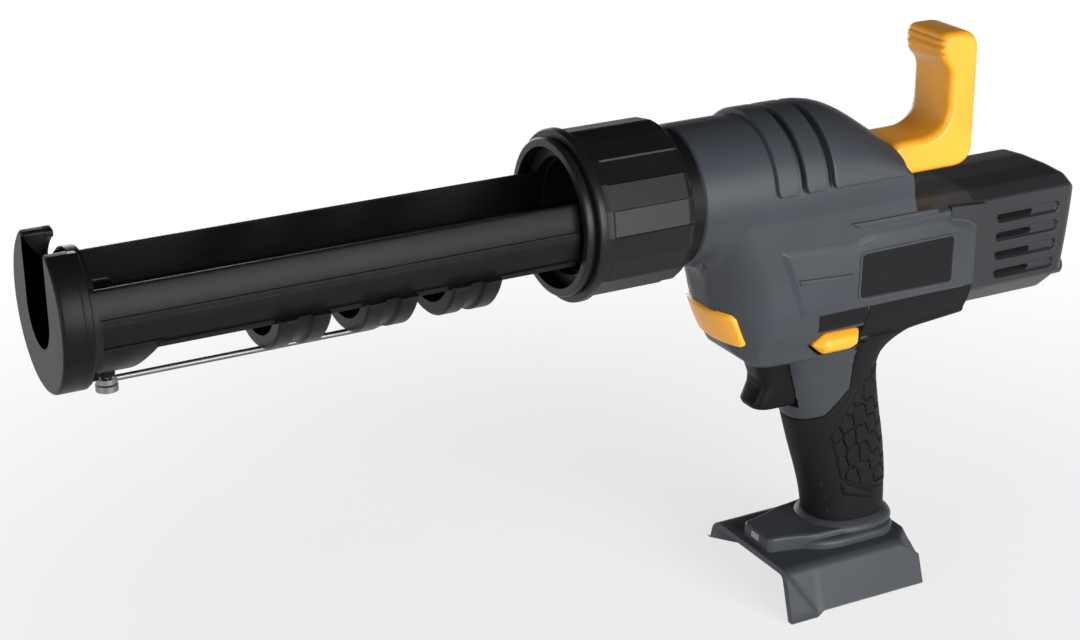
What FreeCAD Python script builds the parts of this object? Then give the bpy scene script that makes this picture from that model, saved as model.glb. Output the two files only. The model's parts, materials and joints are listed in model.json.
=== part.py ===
import FreeCAD, Part
import math
import os
from types import SimpleNamespace
import Sketcher

Vector = FreeCAD.Vector
Rotation = FreeCAD.Rotation

# A cordless caulking tool. +X runs forward along the barrel, +Y to the tool's left, +Z up.
# The origin is at the middle of the foot, level with the lower edge of its skirts.
# Places named _x are measured along X from there. All sizes are in millimetres.
SIZES = {
    # whole tool
    "axis_height": 204.0,
    "overrun": 2.0,
    "seat_gap": 0.15,
    "run_gap": 0.35,
    # cradle tray
    "tray_radius": 27.0,
    "tray_wall": 1.8,
    "tray_rim_rise": 13.0,
    "tray_side_drop": 13.4,
    "tray_flange_radius": 32.3,
    "tray_flange_length": 4.6,
    "rail_top_rise": 2.3,
    "rail_height": 5.3,
    "rail_proud": 1.0,
    "strap_radius": 31.0,
    "strap_first_x": 178.0,
    "strap_pitch": 37.25,
    "strap_length": 22.0,
    "strap_groove_width": 6.0,
    "strap_groove_depth": 1.2,
    "strap_lap": 2.0,
    "nose_shell_length": 28.0,
    "nose_shell_slant": 13.0,
    # cradle front cap
    "plate_front_x": 360.0,
    "plate_thickness": 9.0,
    "plate_radius": 32.4,
    "cap_skirt_length": 3.3,
    "slot_width": 26.0,
    "ear_rise": 27.0,
    # seal pin and its screw
    "pin_radius": 1.3,
    "pin_drop": 32.9,
    "pin_eye_radius": 4.2,
    "pin_hinge_x": 336.0,
    "pin_length": 117.0,
    "pin_tip_length": 5.0,
    "pin_tip_radius": 0.3,
    "pin_screw_radius": 1.9,
    "pin_screw_grip": 5.0,
    "pin_screw_head_radius": 4.5,
    "pin_screw_head_height": 2.6,
    # locking collar
    "flange_x": 137.0,
    "collar_front_length": 5.0,
    "collar_front_radius": 33.8,
    "collar_groove_radius": 32.6,
    "collar_groove_start": 1.5,
    "collar_groove_end": 0.6,
    "collar_flange_radius": 37.0,
    "collar_flange_length": 3.8,
    "collar_sleeve_radius": 35.8,
    "collar_length": 46.0,
    "collar_chamfer": 2.2,
    "collar_hole_radius": 27.6,
    "collar_bore_radius": 32.7,
    "collar_lip_radius": 30.9,
    "collar_lip_length": 4.6,
    "flute_depth": 1.3,
    "flute_margin": 4.0,
    # front spigot
    "body_front_x": 84.0,
    "spigot_radius": 30.5,
    "spigot_bore_radius": 24.0,
    "spigot_neck_radius": 26.5,
    "spigot_flange_radius": 28.0,
    "spigot_flange_length": 4.0,
    "spigot_lug_radius": 32.3,
    "spigot_lug_length": 4.5,
    "front_wall": 3.5,
    # piston rod and plunger
    "rod_width": 6.0,
    "rod_drop": 4.2,
    "rod_rise": 4.8,
    "rod_rear_x": -66.0,
    "rack_rear_x": 0.0,
    "rack_length": 250.0,
    "rack_module": 1.5,
    "plunger_radius": 22.6,
    "plunger_length": 6.0,
    "plunger_chamfer": 1.5,
    "plunger_gap": 2.0,
    "hub_radius": 8.0,
    "hub_length": 11.0,
    "plunger_screw_radius": 2.2,
    "plunger_screw_reach": 9.0,
    "plunger_screw_head_radius": 4.2,
    "plunger_screw_head_height": 3.0,
    "bush_length": 8.0,
    "bush_inset": 2.0,
    "rear_bush_x": -20.0,
    "rear_bush_width": 14.0,
    "rear_bush_margin": 4.0,
    # pull handle
    "handle_rear_x": -69.0,
    "handle_width": 29.0,
    "column_depth": 15.0,
    "handle_rise": 57.0,
    "base_drop": 6.0,
    "base_rise": 10.0,
    "nose_depth": 6.0,
    "nose_height": 12.0,
    "handle_inner_fillet": 12.0,
    "handle_outer_fillet": 8.0,
    "handle_edge_fillet": 2.5,
    "handle_pin_radius": 2.0,
    "handle_pin_x": -45.0,
    # housing: hump, chin, side panel and motor barrel
    "hump_radius": 31.0,
    "hump_crest_x": 7.0,
    "hump_slope_x": -22.0,
    "hump_slope_rise": 9.0,
    "hump_end_x": -28.0,
    "hump_end_drop": 16.0,
    "pad_proud": 1.5,
    "pad_front_x": 49.0,
    "pad_pitch": 14.2,
    "pad_length": 11.0,
    "chin_top_x": 75.0,
    "chin_top_drop": 32.0,
    "chin_brow_x": 73.0,
    "chin_brow_drop": 43.0,
    "chin_mid_x": 67.0,
    "chin_mid_drop": 61.0,
    "chin_low_x": 61.0,
    "chin_low_drop": 72.0,
    "chin_tip_x": 49.0,
    "chin_tip_drop": 83.5,
    "neck_drop": 86.0,
    "neck_front_x": 27.0,
    "neck_rear_x": -26.0,
    "belly_x": -36.0,
    "belly_drop": 79.0,
    "block_half_width": 29.5,
    "waist_drop": 59.0,
    "waist_half_width": 20.0,
    "waist_foot_drop": 77.0,
    "neck_half_width": 17.0,
    "panel_proud": 1.3,
    "panel_top_drop": 23.0,
    "panel_height": 34.0,
    "panel_front_x": 46.0,
    "panel_rake": 14.0,
    "plate_length": 48.5,
    "plate_height": 20.5,
    "plate_rear_gap": 14.0,
    "plate_drop": 42.2,
    "name_plate_thickness": 0.9,
    "name_plate_sink": 0.6,
    "barrel_half_width": 28.0,
    "barrel_drop": 31.0,
    "barrel_rise": 28.0,
    "barrel_chamfer": 13.0,
    "brow_width": 7.0,
    "brow_height": 5.0,
    "barrel_front_x": -5.0,
    "barrel_joint_x": -61.0,
    # grip and rubber skin
    "grip_foot_rise": 6.0,
    "grip_foot_front_x": 7.0,
    "grip_foot_rear_x": -37.0,
    "grip_low_front_x": 11.5,
    "grip_low_rear_x": -36.0,
    "grip_high_front_x": 20.0,
    "grip_high_rear_x": -29.6,
    "grip_top_lap": 4.0,
    "grip_top_front_x": 27.0,
    "grip_top_rear_x": -24.0,
    "grip_half_width": 17.0,
    "grip_chamfer": 9.0,
    "rubber_thickness": 2.0,
    "rubber_front_drop": 28.0,
    "rubber_sweep_x": -8.0,
    "rubber_sweep_drop": 10.0,
    # foot
    "foot_length": 74.0,
    "foot_half_width": 37.0,
    "foot_top_half_width": 30.0,
    "foot_top_height": 24.0,
    "foot_wall": 3.0,
    "foot_corner_length": 10.0,
    "foot_corner_height": 9.0,
    "tier_height": 4.5,
    "tier_reach": 5.0,
    "tier_half_width": 22.0,
    "lamp_box_front_x": 34.0,
    "lamp_box_half_width": 9.0,
    "lamp_box_height": 9.0,
    "lamp_box_slope": 4.0,
    "lens_width": 6.0,
    "lens_height": 3.5,
    "lens_depth": 3.0,
    "lens_rise": 2.5,
    # rear cap and vents
    "cap_end_gap": 1.0,
    "cap_wall": 2.5,
    "cap_rear_chamfer": 5.0,
    "cap_rib_length": 4.0,
    "vent_rear_gap": 10.0,
    "vent_height": 6.0,
    "vent_depth": 1.0,
    "vent_slot_height": 2.2,
    "vent_pitch": 9.0,
    "vent_front_gap": 13.0,
    "cap_screw_radius": 1.9,
    "cap_screw_head_radius": 3.4,
    "cap_screw_head_height": 2.4,
    "cap_screw_grip": 9.0,
    "cap_screw_spread": 19.0,
    "cap_screw_rise": 19.0,
    "cap_boss_radius": 4.6,
    # motor
    "motor_radius": 19.0,
    "motor_length": 57.0,
    "motor_wall": 1.6,
    "motor_end_gap": 3.0,
    "magnet_thickness": 4.4,
    "magnet_overhang": 1.5,
    "air_gap": 0.6,
    "commutator_radius": 6.5,
    "commutator_length": 6.0,
    "commutator_gap": 2.0,
    "motor_shaft_radius": 2.5,
    "bearing_radius": 6.0,
    "bearing_length": 4.0,
    # planetary gearbox
    "gearbox_radius": 20.0,
    "motor_plate_length": 5.0,
    "motor_plate_hole": 8.0,
    "planet_module": 0.8,
    "gear_length": 12.0,
    "planet_inset": 1.0,
    "planet_pin_radius": 2.0,
    "carrier_radius": 15.0,
    "carrier_length": 4.0,
    "carrier_gap": 1.5,
    "cover_length": 25.0,
    "cover_wall": 2.4,
    "cover_end_wall": 4.0,
    "drive_shaft_radius": 4.0,
    "shaft_end_gap": 0.6,
    # bevel pair, spur pair and rack pinion
    "shafts_x": 17.0,
    "bevel_module": 1.3333,
    "bevel_face": 6.5,
    "bevel_back": 4.0,
    "bevel_bush_length": 7.0,
    "spur_module": 1.25,
    "spur_length": 8.0,
    "spur_side_y": -12.0,
    "rack_pinion_length": 8.0,
    "tooth_play": 0.16,
    "shaft_half_length": 27.0,
    "bush_radius": 6.0,
    "gear_cavity_half_width": 22.0,
    # cavities of the housing
    "hump_cavity_radius": 23.6,
    "hump_cavity_rear_x": -8.0,
    "gear_cavity_rear_x": -3.0,
    "gear_cavity_high_rear_x": -9.0,
    "gear_cavity_step_drop": 27.0,
    "gear_cavity_floor_drop": 66.0,
    "gear_cavity_front_x": 58.0,
    "gear_cavity_toe_x": 45.0,
    "gear_cavity_toe_drop": 52.0,
    "switch_rear_x": -10.0,
    "switch_front_x": 16.5,
    "switch_half_width": 9.5,
    "switch_foot_gap": 0.5,
    "switch_height": 21.0,
    "board_rear_x": -24.0,
    "board_front_x": 2.0,
    "board_rise": 14.0,
    "board_head_gap": 10.0,
    "board_thickness": 1.6,
    "grip_cavity_half_width": 10.0,
    # trigger, lock-off and release
    "trigger_top_x": 43.0,
    "trigger_waist_x": 38.5,
    "trigger_waist_drop": 9.0,
    "trigger_lip_x": 40.0,
    "trigger_lip_drop": 20.0,
    "trigger_foot_x": 31.0,
    "trigger_foot_drop": 23.5,
    "trigger_rear_x": 24.5,
    "trigger_half_width": 9.0,
    "spring_radius": 3.2,
    "spring_bore": 2.2,
    "lock_x": 9.0,
    "lock_rise": 14.5,
    "lock_length": 25.0,
    "lock_tallness": 10.0,
    "lock_half_span": 26.0,
    "lock_travel": 5.0,
    "lock_bolt_length": 12.0,
    "lock_bolt_tallness": 6.0,
    "release_top_x": 69.7,
    "release_top_drop": 53.0,
    "release_low_x": 61.0,
    "release_low_drop": 72.0,
    "release_half_width": 12.0,
    "release_depth": 7.0,
    "release_proud": 1.6,
    "release_travel": 3.0,
    # terminals
    "terminal_half_width": 12.0,
    "terminal_length": 36.0,
    "terminal_height": 12.0,
    "blade_length": 24.0,
    "blade_height": 6.0,
    "blade_thickness": 0.8,
    "blade_pitch": 6.0,
    # housing screws
    "screw_radius": 1.9,
    "screw_head_radius": 3.2,
    "screw_head_height": 2.0,
    "screw_reach": 12.0,
    "body_screw_sink_y": 22.0,
    "grip_screw_sink_y": 12.0,
    "front_screw_x": 67.0,
    "front_screw_drop": 30.0,
    "chin_screw_x": 51.0,
    "chin_screw_drop": 75.0,
    "top_screw_x": -18.0,
    "top_screw_drop": 15.5,
    "belly_screw_x": -42.0,
    "belly_screw_drop": 67.5,
    "grip_screw_x": -18.0,
    "grip_screw_drop": 14.0,
}

# Counts, angles and shares.
FULL_TURN = 360
HALF_TURN = 180
ALONG_SHARE = 0.999
STRAP_COUNT = 3
SHORT_PAD_COUNT = 2
PAD_ANGLE = 172
FLUTE_COUNT = 10
FLUTE_ANGLE = 22
LUG_COUNT = 3
LUG_ANGLE = 56
LUG_GAP_ANGLE = 64
MAGNET_GAP_ANGLE = 40
VENT_COUNT = 4
BLADE_COUNT = 4
HOLE_SIDES = 8
PRESSURE_ANGLE = math.radians(25)
SUN_TEETH = 12
PLANET_TEETH = 15
RING_TEETH = 42
PLANET_COUNT = 3
BEVEL_PINION_TEETH = 12
BEVEL_GEAR_TEETH = 24
SMALL_SPUR_TEETH = 12
LARGE_SPUR_TEETH = 36
RACK_PINION_TEETH = 12
ADDENDUM_SHARE = 0.8
DEDENDUM_SHARE = 1.05
EYE_FLAT_SHARE = 0.8
GRIP_LOW_SHARE = 0.32
GRIP_HIGH_SHARE = 0.67
VENT_SLOT_SHARE = 0.54
FLANK_SHARES = (0.0, 0.35, 0.7, 1.0)
TIER_SHARES = (1.0, 0.5)
BLADE_ROOM_SHARE = 1.5
BLADE_SLOT_SHARE = 0.5

doc = FreeCAD.newDocument("caulking_tool")
sheet = doc.addObject("Spreadsheet::Sheet", "sizes")
for row, (alias, size) in enumerate(SIZES.items(), start=1):
    sheet.set("A%d" % row, alias)
    sheet.set("B%d" % row, str(size))
    sheet.setAlias("B%d" % row, alias)
doc.recompute()


class Dim:
    """A length, with the sheet expression that it comes from."""

    def __init__(self, value, text):
        self.value = value
        self.text = text

    def __float__(self):
        return float(self.value)

    def __add__(self, other):
        return Dim(float(self) + float(other), "(%s + %s)" % (self.text, text_of(other)))

    def __radd__(self, other):
        return dim_of(other) + self

    def __sub__(self, other):
        return Dim(float(self) - float(other), "(%s - %s)" % (self.text, text_of(other)))

    def __rsub__(self, other):
        return dim_of(other) - self

    def __mul__(self, share):
        return Dim(float(self) * float(share), "(%s * %s)" % (self.text, text_of(share)))

    __rmul__ = __mul__

    def __truediv__(self, share):
        return Dim(float(self) / float(share), "(%s / %s)" % (self.text, text_of(share)))

    def __neg__(self):
        return Dim(-float(self), "(-1 * %s)" % self.text)


def text_of(term):
    """The sheet expression of a length or a plain number."""
    return term.text if isinstance(term, Dim) else repr(float(term))


def dim_of(term):
    """A plain number as a length."""
    return term if isinstance(term, Dim) else Dim(float(term), repr(float(term)))


S = SimpleNamespace(**{alias: Dim(sheet.get(alias), "sizes." + alias) for alias in SIZES})

NODES = []
TURNS = {
    "X": Rotation(Vector(0, 1, 0), 90),
    "Y": Rotation(Vector(1, 0, 0), -90),
    "Z": Rotation(),
}
DIRECTIONS = {"X": Vector(1, 0, 0), "Y": Vector(0, 1, 0), "Z": Vector(0, 0, 1)}


def bind(thing, prop, size):
    """Ties one property to the sheet."""
    thing.setExpression(prop, dim_of(size).text)


def place(thing, at, turn=None):
    """Turns a piece and ties its place to the sheet."""
    thing.Placement = FreeCAD.Placement(Vector(), turn or Rotation())
    for letter, size in zip("xyz", at):
        bind(thing, "Placement.Base." + letter, size)
    return thing


def keep(thing, label):
    """Names a finished piece, which gets a file of its own."""
    thing.Label = label
    NODES.append(thing)
    return thing


def box(corner, span):
    thing = doc.addObject("Part::Box", "box")
    for prop, size in zip(("Length", "Width", "Height"), span):
        bind(thing, prop, size)
    return place(thing, corner)


def cylinder(axis, radius, length, at, angle=FULL_TURN, turn=0):
    """A round bar, or a sector of one, from its foot at the given place along an axis."""
    thing = doc.addObject("Part::Cylinder", "bar")
    bind(thing, "Radius", radius)
    bind(thing, "Height", length)
    thing.Angle = angle
    return place(thing, at, Rotation(DIRECTIONS[axis], turn) * TURNS[axis])


def cone(axis, foot_radius, top_radius, length, at):
    thing = doc.addObject("Part::Cone", "cone")
    bind(thing, "Radius1", foot_radius)
    bind(thing, "Radius2", top_radius)
    bind(thing, "Height", length)
    return place(thing, at, TURNS[axis])


def fuse(*shapes):
    if len(shapes) == 1:
        return shapes[0]
    thing = doc.addObject("Part::MultiFuse", "fuse")
    thing.Shapes = list(shapes)
    return thing


def common(*shapes):
    thing = doc.addObject("Part::MultiCommon", "common")
    thing.Shapes = list(shapes)
    return thing


def cut(base, *tools):
    thing = doc.addObject("Part::Cut", "cut")
    thing.Base = base
    thing.Tool = fuse(*tools)
    return thing


def origin_part(body, role):
    return [part for part in body.Origin.OriginFeatures if part.Role == role][0]


def draw(body, plane, points, lift=None):
    """A closed sketch of straight lines, each corner held by its two distances from the origin."""
    sketch = body.newObject("Sketcher::SketchObject", "outline")
    sketch.AttachmentSupport = [(origin_part(body, plane + "_Plane"), "")]
    sketch.MapMode = "FlatFace"
    if lift is not None:
        bind(sketch, "AttachmentOffset.Base.z", lift)
    spots = [Vector(float(u), float(v), 0) for u, v in points]
    count = len(spots)
    for i in range(count):
        sketch.addGeometry(Part.LineSegment(spots[i], spots[(i + 1) % count]), False)
    for i in range(count):
        sketch.addConstraint(Sketcher.Constraint("Coincident", i, 2, (i + 1) % count, 1))
    for i, corner in enumerate(points):
        for kind, across, size in zip(("DistanceX", "DistanceY"), (-2, -1), corner):
            if float(size) == 0:
                sketch.addConstraint(Sketcher.Constraint("PointOnObject", i, 1, across))
                continue
            spot = sketch.addConstraint(Sketcher.Constraint(kind, -1, 1, i, 1, float(size)))
            bind(sketch, "Constraints[%d]" % spot, size)
    return sketch


def padded(plane, points, length, at=(0, 0, 0), symmetric=True):
    """A plate: an outline given its thickness, to both sides of its plane or to one."""
    body = doc.addObject("PartDesign::Body", "plate")
    pad = body.newObject("PartDesign::Pad", "pad")
    pad.Profile = draw(body, plane, points)
    pad.SideType = "Symmetric" if symmetric else "One side"
    bind(pad, "Length", length)
    place(body, at)
    return body


def turned(axis, points, at=(0, 0, 0)):
    """A turned piece: points give the place along the axis and the radius."""
    body = doc.addObject("PartDesign::Body", "turned")
    plane = {"X": "XZ", "Y": "YZ", "Z": "XZ"}[axis]
    profile = [(radius, along) if axis == "Z" else (along, radius) for along, radius in points]
    sketch = draw(body, plane, profile)
    turn = body.newObject("PartDesign::Revolution", "turn")
    turn.Profile = sketch
    turn.ReferenceAxis = (origin_part(body, axis + "_Axis"), [""])
    turn.Angle = FULL_TURN
    place(body, at)
    return body


def lofted(levels):
    """A post: eight-sided sections, each with its height, front, rear, half width and corner cut."""
    body = doc.addObject("PartDesign::Body", "post")
    sections = []
    for height, front, rear, half, corner in levels:
        outline = [
            (rear + corner, -half),
            (front - corner, -half),
            (front, corner - half),
            (front, half - corner),
            (front - corner, half),
            (rear + corner, half),
            (rear, half - corner),
            (rear, corner - half),
        ]
        sections.append(draw(body, "XY", outline, height))
    loft = body.newObject("PartDesign::AdditiveLoft", "loft")
    loft.Profile = sections[0]
    loft.Sections = sections[1:]
    loft.Ruled = True
    return body


def shaped(shape):
    thing = doc.addObject("Part::Feature", "shaped")
    thing.Shape = shape
    return thing


def mirrored_pair(points):
    """Closes a half outline, given from its foot up, with its mirror image."""
    return points + [(-1 * u if isinstance(u, Dim) else -u, v) for u, v in reversed(points)]


# Heights and lengths that several pieces share.
axis = S.axis_height
plate_rear_x = S.plate_front_x - S.plate_thickness
skirt_rear_x = plate_rear_x - S.cap_skirt_length
tray_inner = S.tray_radius - S.tray_wall
tray_rear_x = S.flange_x - S.collar_groove_end - S.tray_flange_length - S.run_gap
tray_length = plate_rear_x - tray_rear_x
wide = 2 * S.foot_half_width + 2 * S.overrun
rack_line = axis - S.rod_drop + S.rack_module * ADDENDUM_SHARE
upper_axis = rack_line - S.rack_module * (RACK_PINION_TEETH / 2)
cross_axis = upper_axis - S.spur_module * ((SMALL_SPUR_TEETH + LARGE_SPUR_TEETH) / 2)
motor_axis = cross_axis
neck_low = axis - S.neck_drop
trigger_top = neck_low
trigger_low = trigger_top - S.trigger_foot_drop
switch_low = trigger_low - S.switch_foot_gap
lock_middle = switch_low + S.switch_height + S.lock_rise
grip_foot = S.foot_top_height + S.grip_foot_rise
grip_low = S.foot_top_height + (neck_low - S.foot_top_height) * GRIP_LOW_SHARE
grip_high = S.foot_top_height + (neck_low - S.foot_top_height) * GRIP_HIGH_SHARE
rubber_foot = S.foot_top_height + len(TIER_SHARES) * S.tier_height
rubber_front = neck_low - S.rubber_front_drop
board_floor = S.foot_top_height + S.board_rise
board_tall = switch_low - S.board_head_gap - board_floor
plunger_front_x = plate_rear_x - S.plunger_gap
plunger_rear_x = plunger_front_x - S.plunger_length
rod_middle = axis + (S.rod_rise - S.rod_drop) / 2
rear_bush_low = axis - S.rod_drop - S.rear_bush_margin
rear_bush_tall = S.rod_drop + S.rod_rise + 2 * S.rear_bush_margin

# Places along the motor axis, from the joint with the rear cap forward.
motor_front_x = S.barrel_joint_x + S.motor_end_gap
ring_rear_x = motor_front_x + S.motor_plate_length
ring_front_x = ring_rear_x + S.gear_length
cover_front_x = ring_front_x + S.cover_length
pinion_shaft_x = cover_front_x + 2 * S.shaft_end_gap
motor_rear_x = motor_front_x - S.motor_length
cap_rear_x = motor_rear_x - S.cap_end_gap - S.cap_rear_chamfer
vent_length = S.barrel_joint_x - cap_rear_x - S.vent_front_gap - S.vent_rear_gap
vent_slot_length = vent_length * VENT_SLOT_SHARE
core_length = S.motor_length - 2 * (S.bearing_length + S.commutator_length + S.commutator_gap)
magnet_length = core_length + 2 * S.magnet_overhang
core_radius = S.motor_radius - S.motor_wall - S.magnet_thickness - S.air_gap


# Cradle tray: two side walls of a tube, held by a flange, straps below and a front shell.
def make_cradle_tray():
    tube = cylinder("X", S.tray_radius, tray_length, (tray_rear_x, 0, axis))
    side_band = box(
        (tray_rear_x, -S.tray_radius, axis - S.tray_side_drop),
        (tray_length, 2 * S.tray_radius, S.tray_side_drop + S.tray_rim_rise),
    )
    rail_start = S.flange_x + S.collar_front_length + S.run_gap
    rail = cylinder("X", S.tray_radius + S.rail_proud, skirt_rear_x - rail_start, (rail_start, 0, axis))
    rail_band = box(
        (rail_start, -S.strap_radius, axis + S.rail_top_rise - S.rail_height),
        (skirt_rear_x - rail_start, 2 * S.strap_radius, S.rail_height),
    )
    straps = []
    grooves = []
    for i in range(STRAP_COUNT):
        start = S.strap_first_x + i * S.strap_pitch
        straps.append(cylinder("X", S.strap_radius, S.strap_length, (start, 0, axis)))
        groove_start = start + S.strap_length / 2 - S.strap_groove_width / 2
        ring = cylinder("X", S.strap_radius + S.overrun, S.strap_groove_width, (groove_start, 0, axis))
        floor_radius = S.strap_radius - S.strap_groove_depth
        core = cylinder("X", floor_radius, S.strap_groove_width, (groove_start, 0, axis))
        grooves.append(cut(ring, core))
    nose_rear_x = skirt_rear_x - S.nose_shell_length
    nose = cylinder("X", S.strap_radius, S.nose_shell_length, (nose_rear_x, 0, axis))
    band_top = axis - S.tray_side_drop + S.strap_lap
    low_band = box(
        (tray_rear_x, -S.strap_radius, axis - S.strap_radius),
        (tray_length, 2 * S.strap_radius, S.strap_radius - S.tray_side_drop + S.strap_lap),
    )
    low_reach = axis - S.strap_radius - S.overrun
    slant = padded(
        "XZ",
        [
            (nose_rear_x - S.overrun, band_top),
            (nose_rear_x, band_top),
            (nose_rear_x + S.nose_shell_slant, low_reach),
            (nose_rear_x - S.overrun, low_reach),
        ],
        wide,
    )
    flange = cylinder("X", S.tray_flange_radius, S.tray_flange_length, (tray_rear_x, 0, axis))
    bore = cylinder("X", tray_inner, tray_length + 2 * S.overrun, (tray_rear_x - S.overrun, 0, axis))
    screw_hole = cylinder(
        "Z",
        S.pin_screw_radius + S.seat_gap,
        S.pin_screw_grip + S.overrun,
        (S.pin_hinge_x, 0, low_reach),
    )
    lower = cut(common(fuse(*straps, nose), low_band), slant, *grooves)
    walls = fuse(common(tube, side_band), common(rail, rail_band), lower, flange)
    return keep(cut(walls, bore, screw_hole), "cradle_tray")


# Front cap: a round plate with an open slot for the nozzle, and a short skirt round the tray.
def make_front_cap():
    disc_length = S.plate_thickness + S.cap_skirt_length
    disc = cylinder("X", S.plate_radius, disc_length, (skirt_rear_x, 0, axis))
    keep_band = box(
        (skirt_rear_x, -S.plate_radius, axis - S.plate_radius),
        (disc_length, 2 * S.plate_radius, S.plate_radius + S.ear_rise),
    )
    slot_start = skirt_rear_x - S.overrun
    slot_length = disc_length + 2 * S.overrun
    slot_end = cylinder("X", S.slot_width / 2, slot_length, (slot_start, 0, axis))
    slot = box((slot_start, -S.slot_width / 2, axis), (slot_length, S.slot_width, S.plate_radius))
    socket = cylinder(
        "X", S.tray_radius + S.seat_gap, S.cap_skirt_length + S.overrun, (slot_start, 0, axis)
    )
    return keep(cut(common(disc, keep_band), slot_end, slot, socket), "cradle_front_cap")


# Seal pin: a pointed wire with a flat eye, and the screw that it swings on.
def make_seal_pin():
    middle = axis - S.pin_drop
    flat = S.pin_radius * EYE_FLAT_SHARE
    eye = cylinder("Z", S.pin_eye_radius, 2 * flat, (S.pin_hinge_x, 0, middle - flat))
    tip_x = S.pin_hinge_x - S.pin_length
    wire_length = S.pin_length - S.pin_tip_length - S.pin_screw_radius - S.pin_radius
    wire = cylinder("X", S.pin_radius, wire_length, (tip_x + S.pin_tip_length, 0, middle))
    tip = cone("X", S.pin_tip_radius, S.pin_radius, S.pin_tip_length, (tip_x, 0, middle))
    hole = cylinder(
        "Z",
        S.pin_screw_radius + S.run_gap,
        2 * S.pin_radius + 2 * S.overrun,
        (S.pin_hinge_x, 0, middle - S.pin_radius - S.overrun),
    )
    keep(cut(fuse(eye, wire, tip), hole), "seal_pin")
    under = middle - S.pin_radius - S.run_gap
    top = axis - S.strap_radius + S.pin_screw_grip
    screw = turned(
        "Z",
        [
            (under - S.pin_screw_head_height, 0),
            (under - S.pin_screw_head_height, S.pin_screw_head_radius),
            (under, S.pin_screw_head_radius),
            (under, S.pin_screw_radius),
            (top, S.pin_screw_radius),
            (top, 0),
        ],
        (S.pin_hinge_x, 0, 0),
    )
    keep(screw, "seal_pin_screw")


def sectors(radius, length, at, count, angle, turn=0):
    """Equal sectors of a round bar about the barrel axis."""
    step = FULL_TURN / count
    return [cylinder("X", radius, length, at, angle, turn + i * step) for i in range(count)]


# Locking collar: a fluted ring nut whose inner lip hooks behind the spigot's lugs.
def make_lock_collar():
    front = S.collar_front_length
    flange_rear = S.collar_groove_end - S.collar_flange_length
    rear = -S.collar_length
    shoulder = -S.collar_groove_end
    ring = turned(
        "X",
        [
            (front, S.collar_hole_radius),
            (front, S.collar_front_radius),
            (S.collar_groove_start, S.collar_front_radius),
            (S.collar_groove_start, S.collar_groove_radius),
            (S.collar_groove_end, S.collar_groove_radius),
            (S.collar_groove_end, S.collar_flange_radius),
            (flange_rear, S.collar_flange_radius),
            (flange_rear, S.collar_sleeve_radius),
            (rear + S.collar_chamfer, S.collar_sleeve_radius),
            (rear, S.collar_sleeve_radius - S.collar_chamfer),
            (rear, S.collar_lip_radius),
            (rear + S.collar_lip_length, S.collar_lip_radius),
            (rear + S.collar_lip_length, S.collar_bore_radius),
            (shoulder, S.collar_bore_radius),
            (shoulder, S.collar_hole_radius),
        ],
        (S.flange_x, 0, axis),
    )
    flute_start = S.flange_x + rear + S.flute_margin
    flute_length = S.collar_length + flange_rear - 2 * S.flute_margin
    flutes = sectors(
        S.collar_flange_radius, flute_length, (flute_start, 0, axis), FLUTE_COUNT, FLUTE_ANGLE
    )
    flute_floor = cylinder(
        "X", S.collar_sleeve_radius - S.flute_depth, flute_length, (flute_start, 0, axis)
    )
    lip_gaps = sectors(
        S.collar_bore_radius,
        S.collar_lip_length + S.overrun,
        (S.flange_x + rear - S.overrun, 0, axis),
        LUG_COUNT,
        LUG_GAP_ANGLE,
        LUG_ANGLE,
    )
    keep(cut(ring, cut(fuse(*flutes), flute_floor), *lip_gaps), "lock_collar")


# Front spigot: the neck that carries the cradle, with three lugs for the collar.
def make_spigot():
    front = tray_rear_x
    wall_rear = S.body_front_x - S.front_wall
    flange_rear = wall_rear - S.seat_gap - S.spigot_flange_length
    neck = turned(
        "X",
        [
            (flange_rear, S.spigot_bore_radius),
            (flange_rear, S.spigot_flange_radius),
            (wall_rear - S.seat_gap, S.spigot_flange_radius),
            (wall_rear - S.seat_gap, S.spigot_neck_radius),
            (S.body_front_x, S.spigot_neck_radius),
            (S.body_front_x, S.spigot_radius),
            (front, S.spigot_radius),
            (front, S.spigot_bore_radius),
        ],
        (0, 0, axis),
    )
    lug_start = S.flange_x - S.collar_length + S.collar_lip_length + S.run_gap
    lugs = sectors(
        S.spigot_lug_radius, S.spigot_lug_length, (lug_start, 0, axis), LUG_COUNT, LUG_ANGLE
    )
    core = cylinder("X", S.spigot_neck_radius, S.spigot_lug_length, (lug_start, 0, axis))
    keep(fuse(neck, cut(fuse(*lugs), core)), "front_spigot")
    bush_start = S.body_front_x + S.bush_inset
    disc = cylinder("X", S.spigot_bore_radius - S.seat_gap, S.bush_length, (bush_start, 0, axis))
    keep(cut(disc, rod_window(bush_start, S.bush_length)), "rod_bush_front")


def rod_window(start, length):
    """The opening that the rod slides through."""
    return box(
        (start - S.overrun, -S.rod_width / 2 - S.seat_gap, axis - S.rod_drop - S.seat_gap),
        (
            length + 2 * S.overrun,
            S.rod_width + 2 * S.seat_gap,
            S.rod_drop + S.rod_rise + 2 * S.seat_gap,
        ),
    )


def many_sided(radius, sides):
    """Corners of a flat-sided hole whose flats lie at the given radius."""
    reach = radius / math.cos(math.pi / sides)
    angles = [(i + 0.5) * 2 * math.pi / sides for i in range(sides)]
    return [(reach * math.cos(a), reach * math.sin(a)) for a in angles]


def prism(points, sweep):
    """Solid swept from a closed row of points along a vector."""
    face = Part.Face(Part.makePolygon(points + points[:1]))
    return face.extrude(sweep)


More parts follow.
